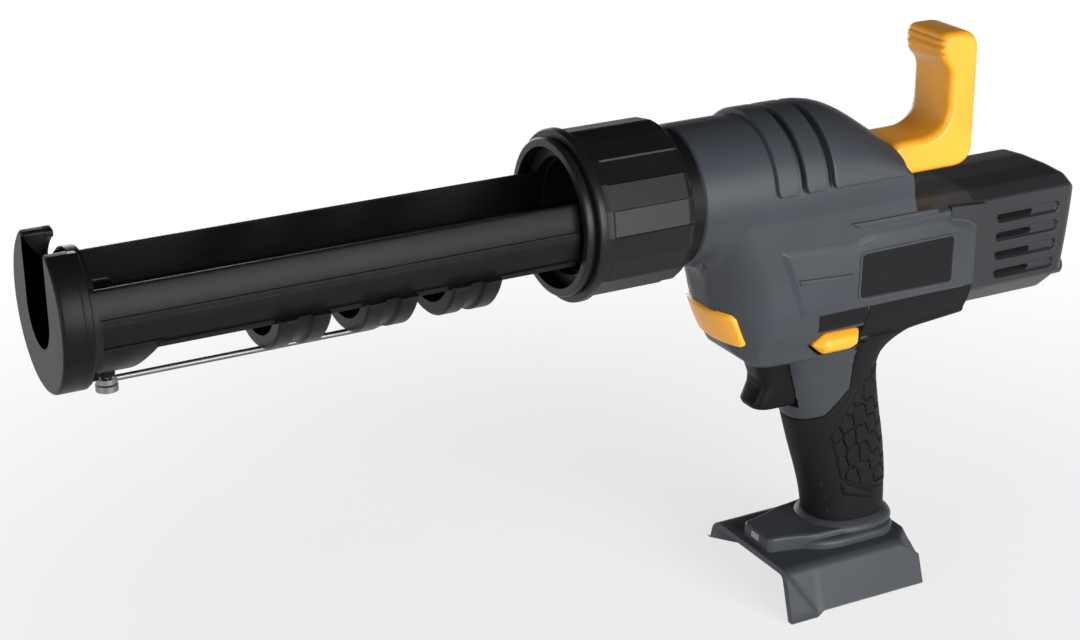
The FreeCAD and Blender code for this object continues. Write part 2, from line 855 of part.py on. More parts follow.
# Piston rod: a square bar with rack teeth along its lower edge and two flat-sided holes.
def make_piston_rod():
    module = float(S.rack_module)
    pitch = math.pi * module
    low = float(axis - S.rod_drop)
    high = float(axis + S.rod_rise)
    rear = float(S.rod_rear_x)
    front = float(plunger_rear_x)
    half = float(S.rod_width / 2)
    pitch_line = low + ADDENDUM_SHARE * module
    root = pitch_line + DEDENDUM_SHARE * module
    thick = pitch / 4 - float(S.tooth_play / 2)
    lean = math.tan(PRESSURE_ANGLE)
    tip_half = thick - (pitch_line - low) * lean
    root_half = thick + (root - pitch_line) * lean
    first = float(S.rack_rear_x)
    gap_count = int(float(S.rack_length) // pitch)
    phase = (float(S.shafts_x) - first) % pitch
    edge = [Vector(rear, -half, low)]
    for i in range(gap_count):
        gap = first + phase + i * pitch
        edge.append(Vector(gap - pitch / 2 + tip_half, -half, low))
        edge.append(Vector(gap - pitch / 2 + root_half, -half, root))
        edge.append(Vector(gap + pitch / 2 - root_half, -half, root))
        edge.append(Vector(gap + pitch / 2 - tip_half, -half, low))
    edge.append(Vector(front, -half, low))
    edge.append(Vector(front, -half, high))
    edge.append(Vector(rear, -half, high))
    bar = prism(edge, Vector(0, 2 * half, 0))
    depth = float(S.plunger_screw_reach + S.overrun)
    bore = many_sided(float(S.plunger_screw_radius + S.seat_gap), HOLE_SIDES)
    middle = float(rod_middle)
    front_hole = prism([Vector(front - depth, u, middle + v) for u, v in bore], Vector(2 * depth, 0, 0))
    cross = many_sided(float(S.handle_pin_radius + S.seat_gap), HOLE_SIDES)
    pin_x = float(S.handle_pin_x)
    over = half + float(S.overrun)
    pin_hole = prism([Vector(pin_x + u, -over, middle + v) for u, v in cross], Vector(0, 2 * over, 0))
    keep(shaped(bar.cut(front_hole).cut(pin_hole)), "piston_rod")


# Plunger: a disc with a hub that sockets on the rod's end, and its screw.
def make_plunger():
    hub_rear_x = plunger_rear_x - S.hub_length
    disc = turned(
        "X",
        [
            (hub_rear_x, 0),
            (hub_rear_x, S.hub_radius),
            (plunger_rear_x, S.hub_radius),
            (plunger_rear_x, S.plunger_radius),
            (plunger_front_x - S.plunger_chamfer, S.plunger_radius),
            (plunger_front_x, S.plunger_radius - S.plunger_chamfer),
            (plunger_front_x, 0),
        ],
        (0, 0, rod_middle),
    )
    head_x = plunger_front_x - S.plunger_screw_head_height
    socket = box(
        (hub_rear_x - S.overrun, -S.rod_width / 2 - S.seat_gap, axis - S.rod_drop - S.seat_gap),
        (
            S.hub_length + S.overrun,
            S.rod_width + 2 * S.seat_gap,
            S.rod_drop + S.rod_rise + 2 * S.seat_gap,
        ),
    )
    hole = cylinder(
        "X", S.plunger_screw_radius + S.seat_gap, S.plunger_length, (plunger_rear_x, 0, rod_middle)
    )
    sink = cylinder(
        "X",
        S.plunger_screw_head_radius + S.seat_gap,
        S.plunger_screw_head_height + S.overrun,
        (head_x, 0, rod_middle),
    )
    keep(cut(disc, socket, hole, sink), "plunger_disc")
    screw = turned(
        "X",
        [
            (plunger_rear_x - S.plunger_screw_reach, 0),
            (plunger_rear_x - S.plunger_screw_reach, S.plunger_screw_radius),
            (head_x, S.plunger_screw_radius),
            (head_x, S.plunger_screw_head_radius),
            (plunger_front_x, S.plunger_screw_head_radius),
            (plunger_front_x, 0),
        ],
        (0, 0, rod_middle),
    )
    keep(screw, "plunger_screw")


def round_edges(body, edges, radius):
    """Rounds the named edges of a body's last feature."""
    last = body.Tip
    fillet = body.newObject("PartDesign::Fillet", "rounding")
    fillet.Base = (last, edges)
    bind(fillet, "Radius", radius)
    return fillet


def edges_along(body, direction, corners):
    """Names of the straight edges along a direction that pass near the given corners."""
    doc.recompute()
    names = []
    for number, edge in enumerate(body.Tip.Shape.Edges, start=1):
        if not isinstance(edge.Curve, Part.Line):
            continue
        if abs(edge.tangentAt(edge.FirstParameter).dot(direction)) < ALONG_SHARE:
            continue
        middle = edge.CenterOfMass
        for spot in corners:
            away = (middle - spot) - direction * (middle - spot).dot(direction)
            if away.Length < float(S.seat_gap):
                names.append("Edge%d" % number)
    return names


def rim_edges(body, direction, level):
    """Names of the edges that lie in the two end planes at +level and -level along a direction."""
    doc.recompute()
    names = []
    for number, edge in enumerate(body.Tip.Shape.Edges, start=1):
        reach = [abs(vertex.Point.dot(direction)) for vertex in edge.Vertexes]
        if all(abs(r - level) < float(S.seat_gap) for r in reach):
            names.append("Edge%d" % number)
    return names


def hump_rear_at(rise):
    """Where the hump's rear face stands at a height above the barrel axis."""
    climb = (rise + S.hump_end_drop) / (S.hump_slope_rise + S.hump_end_drop)
    return S.hump_end_x + (S.hump_slope_x - S.hump_end_x) * climb


# Pull handle: an upright column with a hooked top, on a block that holds the rod's end.
def make_handle():
    bottom = axis - S.base_drop
    base_top = axis + S.base_rise
    top = axis + S.handle_rise
    column_front = S.handle_rear_x + S.column_depth
    nose_x = column_front + S.nose_depth
    body = padded(
        "XZ",
        [
            (S.handle_rear_x, bottom),
            (hump_rear_at(-S.base_drop) - 2 * S.run_gap, bottom),
            (hump_rear_at(S.base_rise) - 2 * S.run_gap, base_top),
            (column_front, base_top),
            (column_front, top - 2 * S.nose_height + S.nose_depth),
            (nose_x, top - S.nose_height),
            (nose_x, top),
            (S.handle_rear_x, top),
        ],
        S.handle_width,
    )
    across = DIRECTIONS["Y"]
    inner = [Vector(float(column_front), 0, float(base_top))]
    outer = [
        Vector(float(S.handle_rear_x), 0, float(bottom)),
        Vector(float(S.handle_rear_x), 0, float(top)),
    ]
    round_edges(body, edges_along(body, across, inner), S.handle_inner_fillet)
    round_edges(body, edges_along(body, across, outer), S.handle_outer_fillet)
    round_edges(body, rim_edges(body, across, float(S.handle_width / 2)), S.handle_edge_fillet)
    socket = box(
        (S.rod_rear_x, -S.rod_width / 2 - S.seat_gap, axis - S.rod_drop - S.seat_gap),
        (
            S.hump_slope_x - S.rod_rear_x,
            S.rod_width + 2 * S.seat_gap,
            S.rod_drop + S.rod_rise + 2 * S.seat_gap,
        ),
    )
    pin_length = S.handle_width - 2 * S.handle_edge_fillet
    pin_at = (S.handle_pin_x, -pin_length / 2, rod_middle)
    pin_hole = cylinder("Y", S.handle_pin_radius + S.seat_gap, pin_length, pin_at)
    keep(cut(body, socket, pin_hole), "pull_handle")
    keep(cylinder("Y", S.handle_pin_radius, pin_length, pin_at), "handle_pin")


# Housing: the outer form of both halves, before it is hollowed and split.
def housing_form():
    hump_length = S.body_front_x - S.hump_end_x
    hump = cylinder("X", S.hump_radius, hump_length, (S.hump_end_x, 0, axis))
    pad_fronts = [S.pad_front_x - i * S.pad_pitch for i in range(SHORT_PAD_COUNT + 1)]
    pad_lengths = [S.pad_length] * SHORT_PAD_COUNT + [pad_fronts[-1] - S.hump_end_x]
    pad_radius = S.hump_radius + S.pad_proud
    pad_turn = HALF_TURN - PAD_ANGLE / 2
    pads = [
        cylinder("X", pad_radius, length, (front - length, 0, axis), PAD_ANGLE, pad_turn)
        for front, length in zip(pad_fronts, pad_lengths)
    ]
    crown = axis + S.hump_radius + S.overrun
    hump_side = padded(
        "XZ",
        [
            (S.body_front_x, axis - S.chin_top_drop),
            (S.body_front_x, crown),
            (S.hump_crest_x, crown),
            (S.hump_slope_x, axis + S.hump_slope_rise),
            (S.hump_end_x, axis - S.hump_end_drop),
            (S.hump_end_x, axis - S.chin_top_drop),
        ],
        wide,
    )
    brow_low = motor_axis + S.barrel_rise - S.brow_height
    block_side = padded(
        "XZ",
        [
            (S.chin_top_x, axis),
            (S.chin_top_x, axis - S.chin_top_drop),
            (S.chin_brow_x, axis - S.chin_brow_drop),
            (S.chin_mid_x, axis - S.chin_mid_drop),
            (S.chin_low_x, axis - S.chin_low_drop),
            (S.chin_tip_x, axis - S.chin_tip_drop),
            (S.neck_front_x, neck_low),
            (S.neck_rear_x, neck_low),
            (S.belly_x, axis - S.belly_drop),
            (S.barrel_joint_x, motor_axis - S.barrel_drop),
            (S.barrel_joint_x, brow_low),
            (S.hump_end_x, brow_low),
            (hump_rear_at(0), axis),
        ],
        wide,
    )
    low = neck_low - S.overrun
    block_section = padded(
        "YZ",
        mirrored_pair(
            [
                (S.neck_half_width, low),
                (S.waist_half_width, axis - S.waist_foot_drop),
                (S.block_half_width, axis - S.waist_drop),
                (S.block_half_width, axis),
            ]
        ),
        2 * S.plate_front_x,
    )
    panels = [side_panel(side) for side in (1, -1)]
    barrel = octagon(S.barrel_joint_x, S.barrel_front_x, dim_of(0))
    return fuse(
        common(fuse(hump, *pads), hump_side),
        common(block_side, block_section),
        barrel,
        *panels,
        grip_form(),
        foot_form(),
    )


def octagon(rear_x, front_x, inset):
    """A bar with eight flats round the motor axis, drawn in by inset on every side."""
    half_width = S.barrel_half_width - inset
    low = inset - S.barrel_drop
    top = S.barrel_rise - inset
    half = [
        (half_width - S.barrel_chamfer, low),
        (half_width, low + S.barrel_chamfer),
        (half_width, top - S.brow_height),
        (half_width - S.brow_width, top),
    ]
    return padded("YZ", mirrored_pair(half), front_x - rear_x, (rear_x, 0, motor_axis), False)


# Raised panel on each flank, with a flat bed for the name plate.
def side_panel(side):
    top = axis - S.panel_top_drop
    low = top - S.panel_height
    face = padded(
        "XZ",
        [
            (S.panel_front_x, top),
            (S.panel_front_x - S.panel_rake, low),
            (S.barrel_joint_x, low),
            (S.barrel_joint_x, top),
        ],
        2 * S.panel_proud,
        (0, side * S.block_half_width, 0),
    )
    return face


def plate_corner(side, sink):
    """Corner of the name plate's bed, sunk into the panel's face."""
    face_y = S.block_half_width + S.panel_proud - S.name_plate_sink + sink
    low = axis - S.plate_drop - S.plate_height / 2
    start_y = face_y if side > 0 else -face_y - S.name_plate_thickness
    return (S.barrel_joint_x + S.plate_rear_gap, start_y, low)


def make_name_plate(side, label):
    span = (S.plate_length, S.name_plate_thickness, S.plate_height)
    keep(box(plate_corner(side, 0), span), label)


# Grip: a raked post. The rubber skin takes the space between its outside and its core.
def grip_levels(inset):
    corner = S.grip_chamfer - inset
    half = S.grip_half_width - inset
    return [
        (grip_foot, S.grip_foot_front_x - inset, S.grip_foot_rear_x + inset, half, corner),
        (grip_low, S.grip_low_front_x - inset, S.grip_low_rear_x + inset, half, corner),
        (grip_high, S.grip_high_front_x - inset, S.grip_high_rear_x + inset, half, corner),
        (neck_low + S.grip_top_lap, S.grip_top_front_x - inset, S.grip_top_rear_x + inset, half, corner),
    ]


def rubber_zone():
    """Side outline of the stretch of grip that the rubber covers."""
    return padded(
        "XZ",
        [
            (S.barrel_joint_x, rubber_foot),
            (S.chin_tip_x, rubber_foot),
            (S.chin_tip_x, rubber_front),
            (S.grip_low_front_x, rubber_front),
            (S.rubber_sweep_x, neck_low - S.rubber_sweep_drop),
            (S.rubber_sweep_x, neck_low),
            (S.barrel_joint_x, neck_low),
        ],
        wide,
    )


def grip_form():
    return fuse(cut(lofted(grip_levels(dim_of(0))), rubber_zone()), lofted(grip_levels(S.rubber_thickness)))


def make_rubber(side, label):
    skin = cut(lofted(grip_levels(dim_of(0))), lofted(grip_levels(S.rubber_thickness)))
    wells = [screw_well(*spot) for spot in screw_spots()]
    keep(cut(common(skin, rubber_zone(), half_space(side)), *wells), label)


# Foot: a plate with two sloping skirts that straddle the battery, two round tiers and a lamp box.
def foot_form():
    inner_half = S.foot_half_width - S.foot_wall
    inner_top_half = S.foot_top_half_width - S.foot_wall
    inner_top = S.foot_top_height - S.foot_wall
    half = [
        (inner_top_half, inner_top),
        (inner_half, dim_of(0)),
        (S.foot_half_width, dim_of(0)),
        (S.foot_top_half_width, S.foot_top_height),
    ]
    rear_x = -S.foot_length / 2
    channel = padded("YZ", mirrored_pair(half), S.foot_length, (rear_x, 0, 0), False)
    corner = [
        (rear_x - S.overrun, S.foot_top_height - S.foot_corner_height),
        (rear_x, S.foot_top_height - S.foot_corner_height),
        (rear_x + S.foot_corner_length, S.foot_top_height),
        (rear_x + S.foot_corner_length, S.foot_top_height + S.overrun),
        (rear_x - S.overrun, S.foot_top_height + S.overrun),
    ]
    corner_y = S.tier_half_width + S.foot_half_width / 2
    corners = [padded("XZ", corner, S.foot_half_width, (0, side * corner_y, 0)) for side in (1, -1)]
    tiers = []
    for i, share in enumerate(TIER_SHARES):
        front_x = S.grip_foot_front_x + S.tier_reach * share
        half_width = S.tier_half_width - i * S.rubber_thickness
        heights = (S.foot_top_height, S.foot_top_height + (i + 1) * S.tier_height)
        tiers.append(lofted([(height, front_x, rear_x, half_width, S.grip_chamfer) for height in heights]))
    lamp_box = padded(
        "XZ",
        [
            (dim_of(0), S.foot_top_height),
            (S.lamp_box_front_x, S.foot_top_height),
            (S.lamp_box_front_x, S.foot_top_height + S.lens_rise + S.lens_height),
            (S.lamp_box_front_x - S.lamp_box_slope, S.foot_top_height + S.lamp_box_height),
            (dim_of(0), S.foot_top_height + S.lamp_box_height),
        ],
        2 * S.lamp_box_half_width,
    )
    return fuse(cut(channel, *corners), *tiers, lamp_box)


def half_space(side):
    """A box over the left or the right half of the tool."""
    reach = S.plate_front_x
    start_y = dim_of(0) if side > 0 else -wide
    return box((-reach, start_y, -S.overrun), (2 * reach, wide, 2 * reach))


def cross_hole(radius, x, z, half_length):
    return cylinder("Y", radius, 2 * half_length, (x, -half_length, z))


# Hollows of the housing: for the spigot, the rod, the gears, the motor, the switch and the rest.
def housing_hollows():
    wall_rear = S.body_front_x - S.front_wall
    hump_hollow = cylinder(
        "X", S.hump_cavity_radius, wall_rear - S.hump_cavity_rear_x, (S.hump_cavity_rear_x, 0, axis)
    )
    flange_groove = cylinder(
        "X",
        S.spigot_flange_radius + S.seat_gap,
        S.spigot_flange_length + 2 * S.seat_gap,
        (wall_rear - S.spigot_flange_length - 2 * S.seat_gap, 0, axis),
    )
    mouth = cylinder(
        "X", S.spigot_neck_radius + S.seat_gap, S.front_wall + S.overrun, (wall_rear, 0, axis)
    )
    floor = axis - S.gear_cavity_floor_drop
    step = axis - S.gear_cavity_step_drop
    gear_hollow = padded(
        "XZ",
        [
            (S.gear_cavity_rear_x, floor),
            (S.gear_cavity_toe_x, floor),
            (S.gear_cavity_front_x, axis - S.gear_cavity_toe_drop),
            (S.gear_cavity_front_x, axis),
            (S.gear_cavity_high_rear_x, axis),
            (S.gear_cavity_high_rear_x, step),
            (S.gear_cavity_rear_x, step),
        ],
        2 * S.gear_cavity_half_width,
    )
    motor_hollow = cylinder(
        "X",
        S.gearbox_radius + S.seat_gap,
        cover_front_x + S.seat_gap - S.barrel_joint_x + S.overrun,
        (S.barrel_joint_x - S.overrun, 0, motor_axis),
    )
    pinion_bore = cylinder(
        "X",
        S.bush_radius + S.seat_gap,
        S.gear_cavity_rear_x - cover_front_x + S.overrun,
        (cover_front_x, 0, cross_axis),
    )
    bore_half = S.shaft_half_length + S.seat_gap
    shaft_bores = [
        cross_hole(S.bush_radius + S.seat_gap, S.shafts_x, height, bore_half)
        for height in (cross_axis, upper_axis)
    ]
    bush_pocket = box(
        (S.rear_bush_x - S.seat_gap, -S.rear_bush_width / 2 - S.seat_gap, rear_bush_low - S.seat_gap),
        (
            S.bush_length + 2 * S.seat_gap,
            S.rear_bush_width + 2 * S.seat_gap,
            rear_bush_tall + 2 * S.seat_gap,
        ),
    )
    rod_way = rod_window(S.hump_end_x, S.gear_cavity_front_x - S.hump_end_x)
    switch_room = box(
        (S.switch_rear_x, -S.switch_half_width, switch_low),
        (S.trigger_rear_x - S.switch_rear_x, 2 * S.switch_half_width, S.switch_height),
    )
    trigger_room = box(
        (
            S.switch_front_x,
            -S.trigger_half_width - S.run_gap,
            trigger_low - S.run_gap,
        ),
        (
            S.trigger_top_x - S.switch_front_x + S.overrun,
            2 * S.trigger_half_width + 2 * S.run_gap,
            S.trigger_foot_drop + 2 * S.run_gap,
        ),
    )
    board_room = box(
        (S.board_rear_x, -S.grip_cavity_half_width, board_floor),
        (S.board_front_x - S.board_rear_x, 2 * S.grip_cavity_half_width, board_tall),
    )
    lens_room = box(
        (S.lamp_box_front_x - S.lens_depth, -S.lens_width / 2, S.foot_top_height + S.lens_rise),
        (S.lens_depth + S.overrun, S.lens_width, S.lens_height),
    )
    plate_beds = []
    for side in (1, -1):
        corner = plate_corner(side, 0)
        start_y = corner[1] if side > 0 else corner[1] - S.overrun
        plate_beds.append(
            box(
                (corner[0] - S.seat_gap, start_y, corner[2] - S.seat_gap),
                (
                    S.plate_length + 2 * S.seat_gap,
                    S.name_plate_thickness + S.overrun,
                    S.plate_height + 2 * S.seat_gap,
                ),
            )
        )
    hole_radius = S.cap_screw_radius + S.seat_gap
    hole_x = S.barrel_joint_x - S.overrun
    cap_screw_holes = [
        cylinder("X", hole_radius, S.cap_screw_grip + S.overrun, (hole_x, y, z))
        for y, z in cap_screw_spots()
    ]
    return [
        hump_hollow,
        flange_groove,
        mouth,
        gear_hollow,
        motor_hollow,
        pinion_bore,
        *shaft_bores,
        bush_pocket,
        rod_way,
        switch_room,
        trigger_room,
        board_room,
        lens_room,
        lock_way(),
        release_way(),
        *plate_beds,
        *cap_screw_holes,
        *[screw_well(*spot) for spot in screw_spots()],
    ]


def make_housing():
    form = housing_form()
    hollows = housing_hollows()
    whole = cut(form, *hollows)
    for side, label in ((1, "housing_left"), (-1, "housing_right")):
        keep(common(whole, half_space(side)), label)


def make_rear_bush():
    block = box(
        (S.rear_bush_x, -S.rear_bush_width / 2, rear_bush_low),
        (S.bush_length, S.rear_bush_width, rear_bush_tall),
    )
    keep(cut(block, rod_window(S.rear_bush_x, S.bush_length)), "rod_bush_rear")


# Housing screws: where each stands (x, z) and how deep its head is sunk from the middle plane.
def screw_spots():
    return [
        (S.front_screw_x, axis - S.front_screw_drop, S.body_screw_sink_y),
        (S.chin_screw_x, axis - S.chin_screw_drop, S.grip_screw_sink_y),
        (S.top_screw_x, axis - S.top_screw_drop, S.body_screw_sink_y),
        (S.belly_screw_x, axis - S.belly_screw_drop, S.grip_screw_sink_y),
        (S.grip_screw_x, neck_low - S.grip_screw_drop, S.grip_screw_sink_y),
    ]


def screw_well(x, z, sink):
    hole = cylinder("Y", S.screw_radius + S.seat_gap, sink + S.screw_reach, (x, -sink, z))
    depth = S.foot_half_width
    well = cylinder("Y", S.screw_head_radius + S.seat_gap, depth, (x, -sink - depth, z))
    return fuse(hole, well)


def make_housing_screws():
    screws = []
    for x, z, sink in screw_spots():
        profile = [
            (-sink - S.screw_head_height, 0),
            (-sink - S.screw_head_height, S.screw_head_radius),
            (-sink, S.screw_head_radius),
            (-sink, S.screw_radius),
            (S.screw_reach - S.seat_gap, S.screw_radius),
            (S.screw_reach - S.seat_gap, 0),
        ]
        screws.append(turned("Y", profile, (x, 0, z)))
    group = doc.addObject("Part::Compound", "screws")
    group.Links = screws
    keep(group, "housing_screws")


# Rear cap: an eight-sided cup over the motor, with ribs that hold it and four vents a side.
def cap_screw_spots():
    return [
        (side * S.cap_screw_spread, motor_axis + rise * S.cap_screw_rise)
        for side, rise in ((1, -1), (-1, 1))
    ]


def make_rear_cap():
    rear_x = cap_rear_x
    length = S.barrel_joint_x - rear_x
    outer = octagon(rear_x, S.barrel_joint_x, dim_of(0))
    across = DIRECTIONS["X"]
    rim = []
    doc.recompute()
    for number, edge in enumerate(outer.Tip.Shape.Edges, start=1):
        if all(abs(vertex.Point.dot(across)) < float(S.seat_gap) for vertex in edge.Vertexes):
            rim.append("Edge%d" % number)
    last = outer.Tip
    bevel = outer.newObject("PartDesign::Chamfer", "bevel")
    bevel.Base = (last, rim)
    bind(bevel, "Size", S.cap_rear_chamfer)
    floor_x = rear_x + S.cap_rear_chamfer
    inner = octagon(floor_x, S.barrel_joint_x + S.overrun, S.cap_wall)
    rib_starts = (motor_rear_x, S.barrel_joint_x - S.cap_rib_length)
    ribs = [octagon(start, start + S.cap_rib_length, S.cap_wall) for start in rib_starts]
    bosses = []
    holes = []
    hole_radius = S.cap_screw_radius + S.seat_gap
    sink_radius = S.cap_screw_head_radius + S.seat_gap
    for y, z in cap_screw_spots():
        start = (rear_x - S.overrun, y, z)
        bosses.append(cylinder("X", S.cap_boss_radius, S.barrel_joint_x - floor_x, (floor_x, y, z)))
        holes.append(cylinder("X", hole_radius, length + 2 * S.overrun, start))
        holes.append(cylinder("X", sink_radius, S.cap_rear_chamfer + S.overrun, start))
    motor_seat = cylinder("X", S.motor_radius + S.seat_gap, length, (motor_rear_x, 0, motor_axis))
    shell = fuse(cut(outer, inner), *ribs, *bosses)
    keep(cut(shell, motor_seat, *holes, *vents()), "rear_cap")


def vents():
    """Shallow recesses on both flanks, each with a narrow slot right through."""
    tools = []
    middle = (VENT_COUNT - 1) / 2
    front_x = S.barrel_joint_x - S.vent_front_gap
    for i in range(VENT_COUNT):
        height = motor_axis + (i - middle) * S.vent_pitch
        for side in (1, -1):
            face_y = S.barrel_half_width - S.vent_depth
            start_y = face_y if side > 0 else -face_y - S.vent_depth - S.overrun
            tools.append(
                box(
                    (front_x - vent_length, start_y, height - S.vent_height / 2),
                    (vent_length, S.vent_depth + S.overrun, S.vent_height),
                )
            )
            deep_y = S.barrel_half_width - S.cap_wall - S.overrun
            slot_y = deep_y if side > 0 else -deep_y - S.cap_wall - S.overrun
            tools.append(
                box(
                    (front_x - vent_slot_length - S.vent_depth, slot_y, height - S.vent_slot_height / 2),
                    (vent_slot_length, S.cap_wall + S.overrun, S.vent_slot_height),
                )
            )
    return tools


def make_cap_screws():
    screws = []
    under = cap_rear_x + S.cap_rear_chamfer
    tip = S.barrel_joint_x + S.cap_screw_grip - S.seat_gap
    for y, z in cap_screw_spots():
        profile = [
            (under - S.cap_screw_head_height, 0),
            (under - S.cap_screw_head_height, S.cap_screw_head_radius),
            (under, S.cap_screw_head_radius),
            (under, S.cap_screw_radius),
            (tip, S.cap_screw_radius),
            (tip, 0),
        ]
        screws.append(turned("X", profile, (0, y, z)))
    group = doc.addObject("Part::Compound", "screws")
    group.Links = screws
    keep(group, "rear_cap_screws")


# Motor: a steel can with two magnets, an armature on its shaft and two bearings.
def make_motor():
    rear = motor_rear_x
    inner = S.motor_radius - S.motor_wall
    end = S.bearing_length
    hole = S.bearing_radius + S.seat_gap
    can = turned(
        "X",
        [
            (rear, hole),
            (rear, S.motor_radius),
            (motor_front_x, S.motor_radius),
            (motor_front_x, hole),
            (motor_front_x - end, hole),
            (motor_front_x - end, inner),
            (rear + end, inner),
            (rear + end, hole),
        ],
        (0, 0, motor_axis),
    )
    keep(can, "motor_can")
    core_rear = rear + (S.motor_length - core_length) / 2
    magnet_rear = rear + (S.motor_length - magnet_length) / 2
    magnet_at = (magnet_rear, 0, motor_axis)
    outer = cylinder("X", inner - S.seat_gap, magnet_length, magnet_at)
    core = cylinder("X", inner - S.magnet_thickness, magnet_length, magnet_at)
    gaps = [
        cylinder("X", inner, magnet_length, magnet_at, MAGNET_GAP_ANGLE, turn - MAGNET_GAP_ANGLE / 2)
        for turn in (0, HALF_TURN)
    ]
    keep(cut(outer, core, *gaps), "motor_magnets")
    commutator_front = core_rear - S.commutator_gap
    commutator_rear = commutator_front - S.commutator_length
    shaft = S.motor_shaft_radius
    armature = turned(
        "X",
        [
            (rear, 0),
            (rear, shaft),
            (commutator_rear, shaft),
            (commutator_rear, S.commutator_radius),
            (commutator_front, S.commutator_radius),
            (commutator_front, shaft),
            (core_rear, shaft),
            (core_rear, core_radius),
            (core_rear + core_length, core_radius),
            (core_rear + core_length, shaft),
            (ring_front_x, shaft),
            (ring_front_x, 0),
        ],
        (0, 0, motor_axis),
    )
    keep(armature, "motor_armature")
    bearings = []
    for start in (rear, motor_front_x - end):
        sleeve = cylinder("X", S.bearing_radius, end, (start, 0, motor_axis))
        bore = cylinder("X", shaft + S.seat_gap, end, (start, 0, motor_axis))
        bearings.append(cut(sleeve, bore))
    group = doc.addObject("Part::Compound", "bearings")
    group.Links = bearings
    keep(group, "motor_bearings")


# Gear teeth, worked out as rows of points. Angles run by the right hand about the gear's axis.
def involute(angle):
    return math.tan(angle) - angle


def half_angle(radius, pitch_radius, pitch_half):
    """Half the angle that a tooth covers at a radius."""
    base = pitch_radius * math.cos(PRESSURE_ANGLE)
    here = math.acos(min(1.0, base / radius))
    return pitch_half + involute(PRESSURE_ANGLE) - involute(here)


def tooth_radii(pitch_radius, root, tip):
    """Radii of the points on one flank, from the root to the tip."""
    base = pitch_radius * math.cos(PRESSURE_ANGLE)
    low = max(root, base)
    return [root] * (low > root) + [low + share * (tip - low) for share in FLANK_SHARES]


def gear_outline(teeth, module, play, phase, tip_share=ADDENDUM_SHARE, root_share=DEDENDUM_SHARE):
    """Points round a gear with involute flanks; the first tooth is centred on the phase angle."""
    pitch_radius = teeth * module / 2
    tip = pitch_radius + tip_share * module
    root = pitch_radius - root_share * module
    pitch_half = math.pi / (2 * teeth) - play / (2 * pitch_radius)
    flank = [(r, half_angle(r, pitch_radius, pitch_half)) for r in tooth_radii(pitch_radius, root, tip)]
    points = []
    for i in range(teeth):
        centre = phase + 2 * math.pi * i / teeth
        points += [(r, centre - a) for r, a in flank]
        points += [(r, centre + a) for r, a in reversed(flank)]
    return points


def about_x(points, x, y, z):
    return [Vector(x, y + r * math.cos(a), z + r * math.sin(a)) for r, a in points]


def about_y(points, x, y, z):
    return [Vector(x + r * math.sin(a), y, z + r * math.cos(a)) for r, a in points]


def bar_x(radius, start, length, y, z):
    return Part.makeCylinder(radius, length, Vector(start, y, z), DIRECTIONS["X"])


def bar_y(radius, start, length, x, z):
    return Part.makeCylinder(radius, length, Vector(x, start, z), DIRECTIONS["Y"])


def mesh_phase(direction, teeth, other_teeth, other_phase):
    """Phase that lets a gear mesh with another gear, seen from that gear in the given direction."""
    turns = (direction - other_phase) * other_teeth / (2 * math.pi)
    return direction + math.pi - (0.5 - turns) * 2 * math.pi / teeth


# Planetary stage: sun on the motor shaft, three planets, a fixed ring and the carrier.
def make_planetary():
    module = float(S.planet_module)
    play = float(S.tooth_play / 2)
    rear = float(ring_rear_x)
    length = float(S.gear_length)
    z = float(motor_axis)
    shaft_hole = bar_x(float(S.motor_shaft_radius + S.seat_gap / 2), rear, length, 0, z)
    sun = prism(about_x(gear_outline(SUN_TEETH, module, play, 0), rear, 0, z), Vector(length, 0, 0))
    keep(shaped(sun.cut(shaft_hole)), "sun_pinion")
    orbit = module * (SUN_TEETH + PLANET_TEETH) / 2
    inset = float(S.planet_inset)
    ring_phase = 0
    for i in range(PLANET_COUNT):
        angle = 2 * math.pi * i / PLANET_COUNT
        phase = mesh_phase(angle, PLANET_TEETH, SUN_TEETH, 0)
        y = orbit * math.cos(angle)
        centre_z = z + orbit * math.sin(angle)
        outline = gear_outline(PLANET_TEETH, module, play, phase)
        wheel = prism(about_x(outline, rear + inset, y, centre_z), Vector(length - 2 * inset, 0, 0))
        hole = bar_x(float(S.planet_pin_radius + S.seat_gap), rear, length, y, centre_z)
        keep(shaped(wheel.cut(hole)), "planet_gear_%d" % (i + 1))
        if i == 0:
            ring_phase = angle - (angle - phase) * PLANET_TEETH / RING_TEETH
    spaces = gear_outline(RING_TEETH, module, -play, ring_phase, DEDENDUM_SHARE, ADDENDUM_SHARE)
    blank = bar_x(float(S.gearbox_radius), rear, length, 0, z)
    keep(shaped(blank.cut(prism(about_x(spaces, rear, 0, z), Vector(length, 0, 0)))), "ring_gear")
    carrier_rear_x = ring_front_x + S.carrier_gap
    disc = cylinder("X", S.carrier_radius, S.carrier_length, (carrier_rear_x, 0, motor_axis))
    pin_start = ring_rear_x + S.planet_inset
    pin_length = carrier_rear_x - pin_start + S.carrier_length / 2
    pins = []
    for i in range(PLANET_COUNT):
        angle = 2 * math.pi * i / PLANET_COUNT
        reach = S.planet_module * ((SUN_TEETH + PLANET_TEETH) / 2)
        spot = (pin_start, reach * math.cos(angle), motor_axis + reach * math.sin(angle))
        pins.append(cylinder("X", S.planet_pin_radius, pin_length, spot))
    shaft_start = carrier_rear_x + S.carrier_length / 2
    shaft_end = cover_front_x + S.shaft_end_gap
    shaft = cylinder("X", S.drive_shaft_radius, shaft_end - shaft_start, (shaft_start, 0, motor_axis))
    keep(fuse(disc, *pins, shaft), "planet_carrier")


